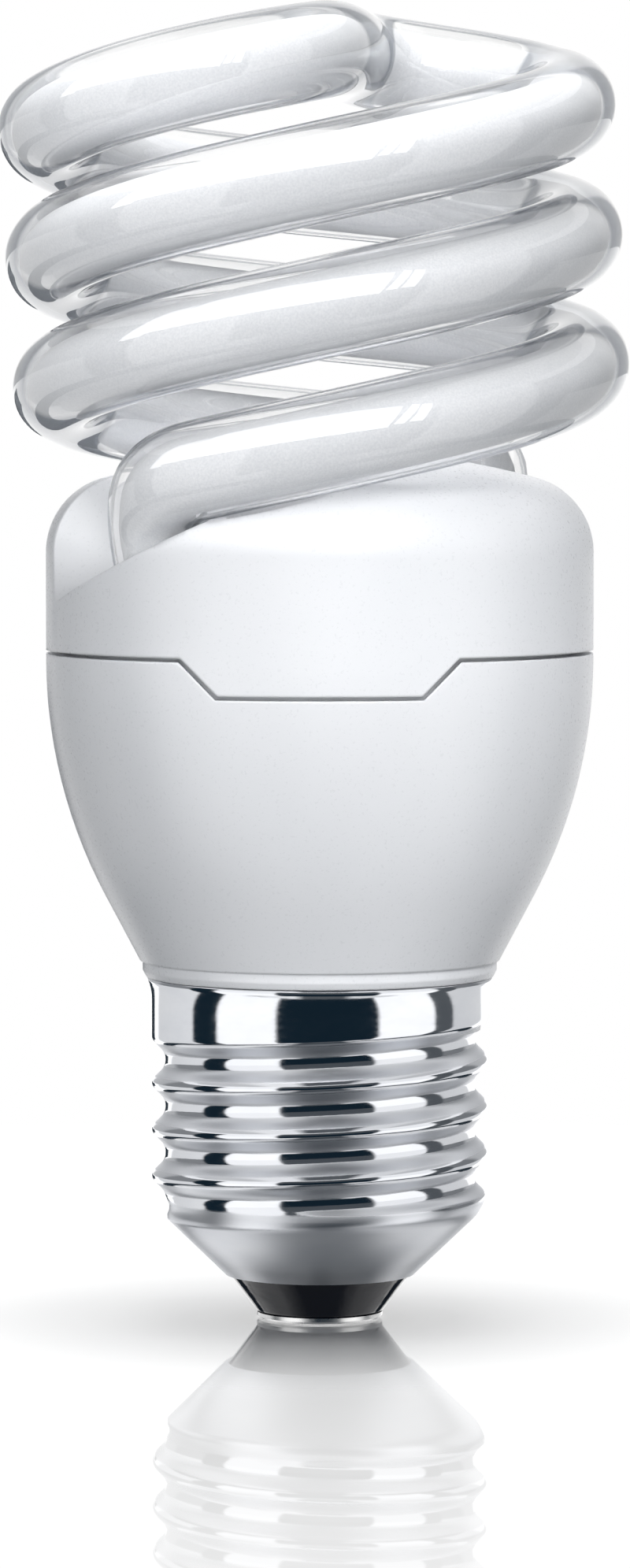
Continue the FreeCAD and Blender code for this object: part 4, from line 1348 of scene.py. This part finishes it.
    def backdrop(self) -> None:
        """Lays the white sheet round the floor, which gloss and metal don't show."""
        sheet, tree = self.disc("backdrop", "white_backdrop", self.backdrop_r, self.floor_drop * 2)
        sheet.visible_transmission = False
        sheet.visible_shadow = False
        glow = add_node(tree, "ShaderNodeEmission", {"Color": linear("#FFFFFF"), "Strength": 1.0})
        add_node(tree, "ShaderNodeOutputMaterial", {"Surface": glow})

    def floor(self) -> None:
        """Lays the lacquered floor, whose mirror fades away from the lamp's foot."""
        _, tree = self.disc("floor", "lacquered_white_floor", self.floor_r, self.floor_drop)
        place = add_node(tree, "ShaderNodeTexCoord")
        away = add_node(tree, "ShaderNodeVectorMath", {0: place.outputs["Object"]}, operation="LENGTH")
        reach = {
            "Value": away.outputs["Value"], "From Max": self.mirror_reach * MM, "To Min": 1.0, "To Max": 0.0
        }
        gloss = add_node(tree, "ShaderNodeMapRange", reach)
        facing = add_node(tree, "ShaderNodeFresnel", {"IOR": self.floor_ior})
        share = add_node(tree, "ShaderNodeMath", {0: facing, 1: gloss}, operation="MULTIPLY", use_clamp=True)
        near, far = (distance * MM for distance in self.shade_reach)
        edge = add_node(
            tree, "ShaderNodeMapRange", {"Value": away.outputs["Value"], "From Min": near, "From Max": far},
            interpolation_type="SMOOTHSTEP"
        )
        light = add_node(tree, "ShaderNodeLightPath")
        seen = add_node(
            tree, "ShaderNodeMath", {0: light.outputs["Is Camera Ray"], 1: edge}, operation="MULTIPLY"
        )
        matt = add_node(tree, "ShaderNodeBsdfDiffuse", {"Color": linear("#F2F2F2")})
        white = add_node(tree, "ShaderNodeEmission", {"Color": linear("#FFFFFF"), "Strength": 1.0})
        base = add_node(tree, "ShaderNodeMixShader", {0: seen, 1: matt, 2: white})
        polish = {"Color": linear("#FFFFFF"), "Roughness": self.floor_roughness}
        mirror = add_node(tree, "ShaderNodeBsdfGlossy", polish)
        lacquer = add_node(tree, "ShaderNodeMixShader", {0: share, 1: base, 2: mirror})
        add_node(tree, "ShaderNodeOutputMaterial", {"Surface": lacquer})

    @staticmethod
    def grey(level: float) -> tuple[float, float, float, float]:
        """Gives a linear level the cold cast that the dark walls have."""
        cold = COLD_CAST * (1 - level)
        return (max(0.0, level - cold), level, level + cold, 1.0)

    def shades(
        self, tree: bpy.types.NodeTree, along: Source, span: tuple[float, float], levels: Any
    ) -> bpy.types.Node:
        """Adds a ramp of greys.

        Args:
            tree: the world's tree.
            along: what the ramp runs along, from 0 to 1.
            span: the places at its start and end.
            levels: places, each with a linear level.

        Returns:
            The ramp.
        """
        start, end = span
        ramp = add_node(tree, "ShaderNodeValToRGB", {0: along})
        shade_ramp(ramp, [((place - start) / (end - start), self.grey(level)) for place, level in levels])
        return ramp

    def surroundings(self) -> None:
        """Sets the world: white where the camera sees it, and a studio's light and dark walls round it, over
        a ground with painted shadow below the lamp.
        """
        world = bpy.data.worlds.new("studio")
        bpy.context.scene.world = world
        world.use_nodes = True
        tree = world.node_tree
        tree.nodes.clear()
        place = add_node(tree, "ShaderNodeTexCoord").outputs["Generated"]
        across, along, up = add_node(tree, "ShaderNodeSeparateXYZ", {0: place}).outputs
        back = add_node(tree, "ShaderNodeMath", {0: along, 1: -1.0}, operation="MULTIPLY")
        angle = add_node(tree, "ShaderNodeMath", {0: across, 1: back}, operation="ARCTAN2")
        full_turn = {"Value": angle, "From Min": -math.pi, "From Max": math.pi}
        share = add_node(tree, "ShaderNodeMapRange", full_turn)
        side, behind = self.rim_azimuths
        soft = (
            (-180, self.rim), (-behind, self.rim), (-side, self.fill), (side, self.fill), (behind, self.rim),
            (180, self.rim)
        )
        low, high, glow = (
            self.shades(tree, share, (-180, 180), levels)
            for levels in (self.low_walls, self.high_walls, soft)
        )
        upper = add_node(tree, "ShaderNodeMath", {0: up, 1: self.level_z}, operation="GREATER_THAN")
        walls = add_node(tree, "ShaderNodeMix", {0: upper, 6: low, 7: high}, data_type="RGBA")
        # The ground, whose dark middle band is painted shadow of the floor, and whose patch straight below
        # the lamp is painted shadow too.
        crossing = add_node(tree, "ShaderNodeMapRange", {"Value": across, "From Min": -1.0, "From Max": 1.0})
        ground_with_painted_shadow = self.shades(tree, crossing, (-1, 1), self.ground_with_painted_shadow)
        near, straight = self.painted_shadow_z
        under = add_node(tree, "ShaderNodeMapRange", {"Value": up, "From Min": near, "From Max": straight})
        seam_z, seam_half, seam_tip = self.seam
        tipped = add_node(
            tree, "ShaderNodeVectorMath", {0: place, 1: (0.0, -seam_tip, 1.0)}, operation="DOT_PRODUCT"
        )
        foot, top = self.panel_z
        azimuth, half_width, corner_z, half_height = self.corner
        panels, strip, seam, turned, level = (
            add_node(tree, "ShaderNodeMath", {0: value, 1: middle, 2: half}, operation="COMPARE")
            for value, middle, half in (
                (up, (foot + top) / 2, (top - foot) / 2), (up, top + self.strip_half, self.strip_half),
                (tipped.outputs["Value"], seam_z, seam_half),
                (angle, math.radians(azimuth), math.radians(half_width)), (up, corner_z, half_height)
            )
        )
        corner = add_node(tree, "ShaderNodeMath", {0: turned, 1: level}, operation="MULTIPLY")
        shady = add_node(tree, "ShaderNodeMath", {0: seam, 1: corner}, operation="MAXIMUM")
        rays = add_node(tree, "ShaderNodeLightPath").outputs
        through = add_node(
            tree, "ShaderNodeMath", {0: rays["Transmission Depth"], 1: 0.5}, operation="GREATER_THAN"
        )
        plain = add_node(tree, "ShaderNodeMath", {0: rays["Is Camera Ray"], 1: through}, operation="MAXIMUM")
        # Laid over each other in turn: the ground with its painted shadow, the painted shadow below the lamp,
        # the walls, the strip, the dark seam and corner, plain white and the soft light.
        view = ground_with_painted_shadow
        for mask, shade in (
            (under, self.grey(self.painted_shadow_level)), (panels, walls.outputs[2]),
            (strip, self.grey(self.strip_level)), (shady, self.grey(self.shady_level)),
            (plain, linear("#FFFFFF")), (rays["Is Diffuse Ray"], glow)
        ):
            view = add_node(tree, "ShaderNodeMix", {0: mask, 6: view, 7: shade}, data_type="RGBA").outputs[2]
        shine = add_node(tree, "ShaderNodeBackground", {"Color": view, "Strength": 1.0})
        add_node(tree, "ShaderNodeOutputWorld", {"Surface": shine})

    def lamps(self) -> None:
        """Hangs the window of soft panes at the front left, the soft box overhead, and three lamps in front.

        All but the soft box leave out the cap, and the front and the key leave out the tube, as where a
        photograph is put together from several exposures.
        """
        turn = Matrix.Rotation(math.radians(self.window_azimuth), 3, "Z")
        middle_z = self.window_foot + self.window_height / 2
        for name, left, right, roll in self.window_panes:
            edges = [self.window_distance * math.tan(math.radians(angle)) for angle in (left, right)]
            across = sum(edges) / 2
            place = turn @ Vector((across, -self.window_distance, middle_z))
            aim = turn @ Vector((across, 0, middle_z))
            size = (edges[1] - edges[0], self.window_height)
            pane = Pane(
                f"window_{name}", tuple(place), tuple(aim), size, self.window_radiance, roll=roll
            ).build()
            pane.light_linking.receiver_collection = self.lit["window"]
            pane.visible_diffuse = False
        self.overhead.build()
        for pane, name in ((self.front, "key"), (self.coil, "coil"), (self.key, "key")):
            pane.build().light_linking.receiver_collection = self.lit[name]

    def build(self) -> None:
        """Sets the whole studio."""
        self.camera()
        self.backdrop()
        self.floor()
        self.surroundings()
        self.lamps()
        bpy.context.scene.view_settings.view_transform = "Standard"


def main() -> None:
    """Builds the lamp and its studio."""
    logging.basicConfig(level=logging.INFO, format="%(message)s")
    studio = Studio()
    studio.build()
    spiral = SpiralTube()
    tube = spiral.build()
    mouldings = [RimmedHolder().build(spiral), *(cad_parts[name] for name in MOULDINGS.finishes)]
    ScrewCap().build()
    for name, things in (("window", (*tube, *mouldings)), ("key", mouldings), ("coil", tube)):
        for thing in things:
            studio.lit[name].objects.link(thing)
    for part in (MOULDINGS, CAP_FOOT, BALLAST):
        part.dress()


if __name__ == "__main__":
    main()
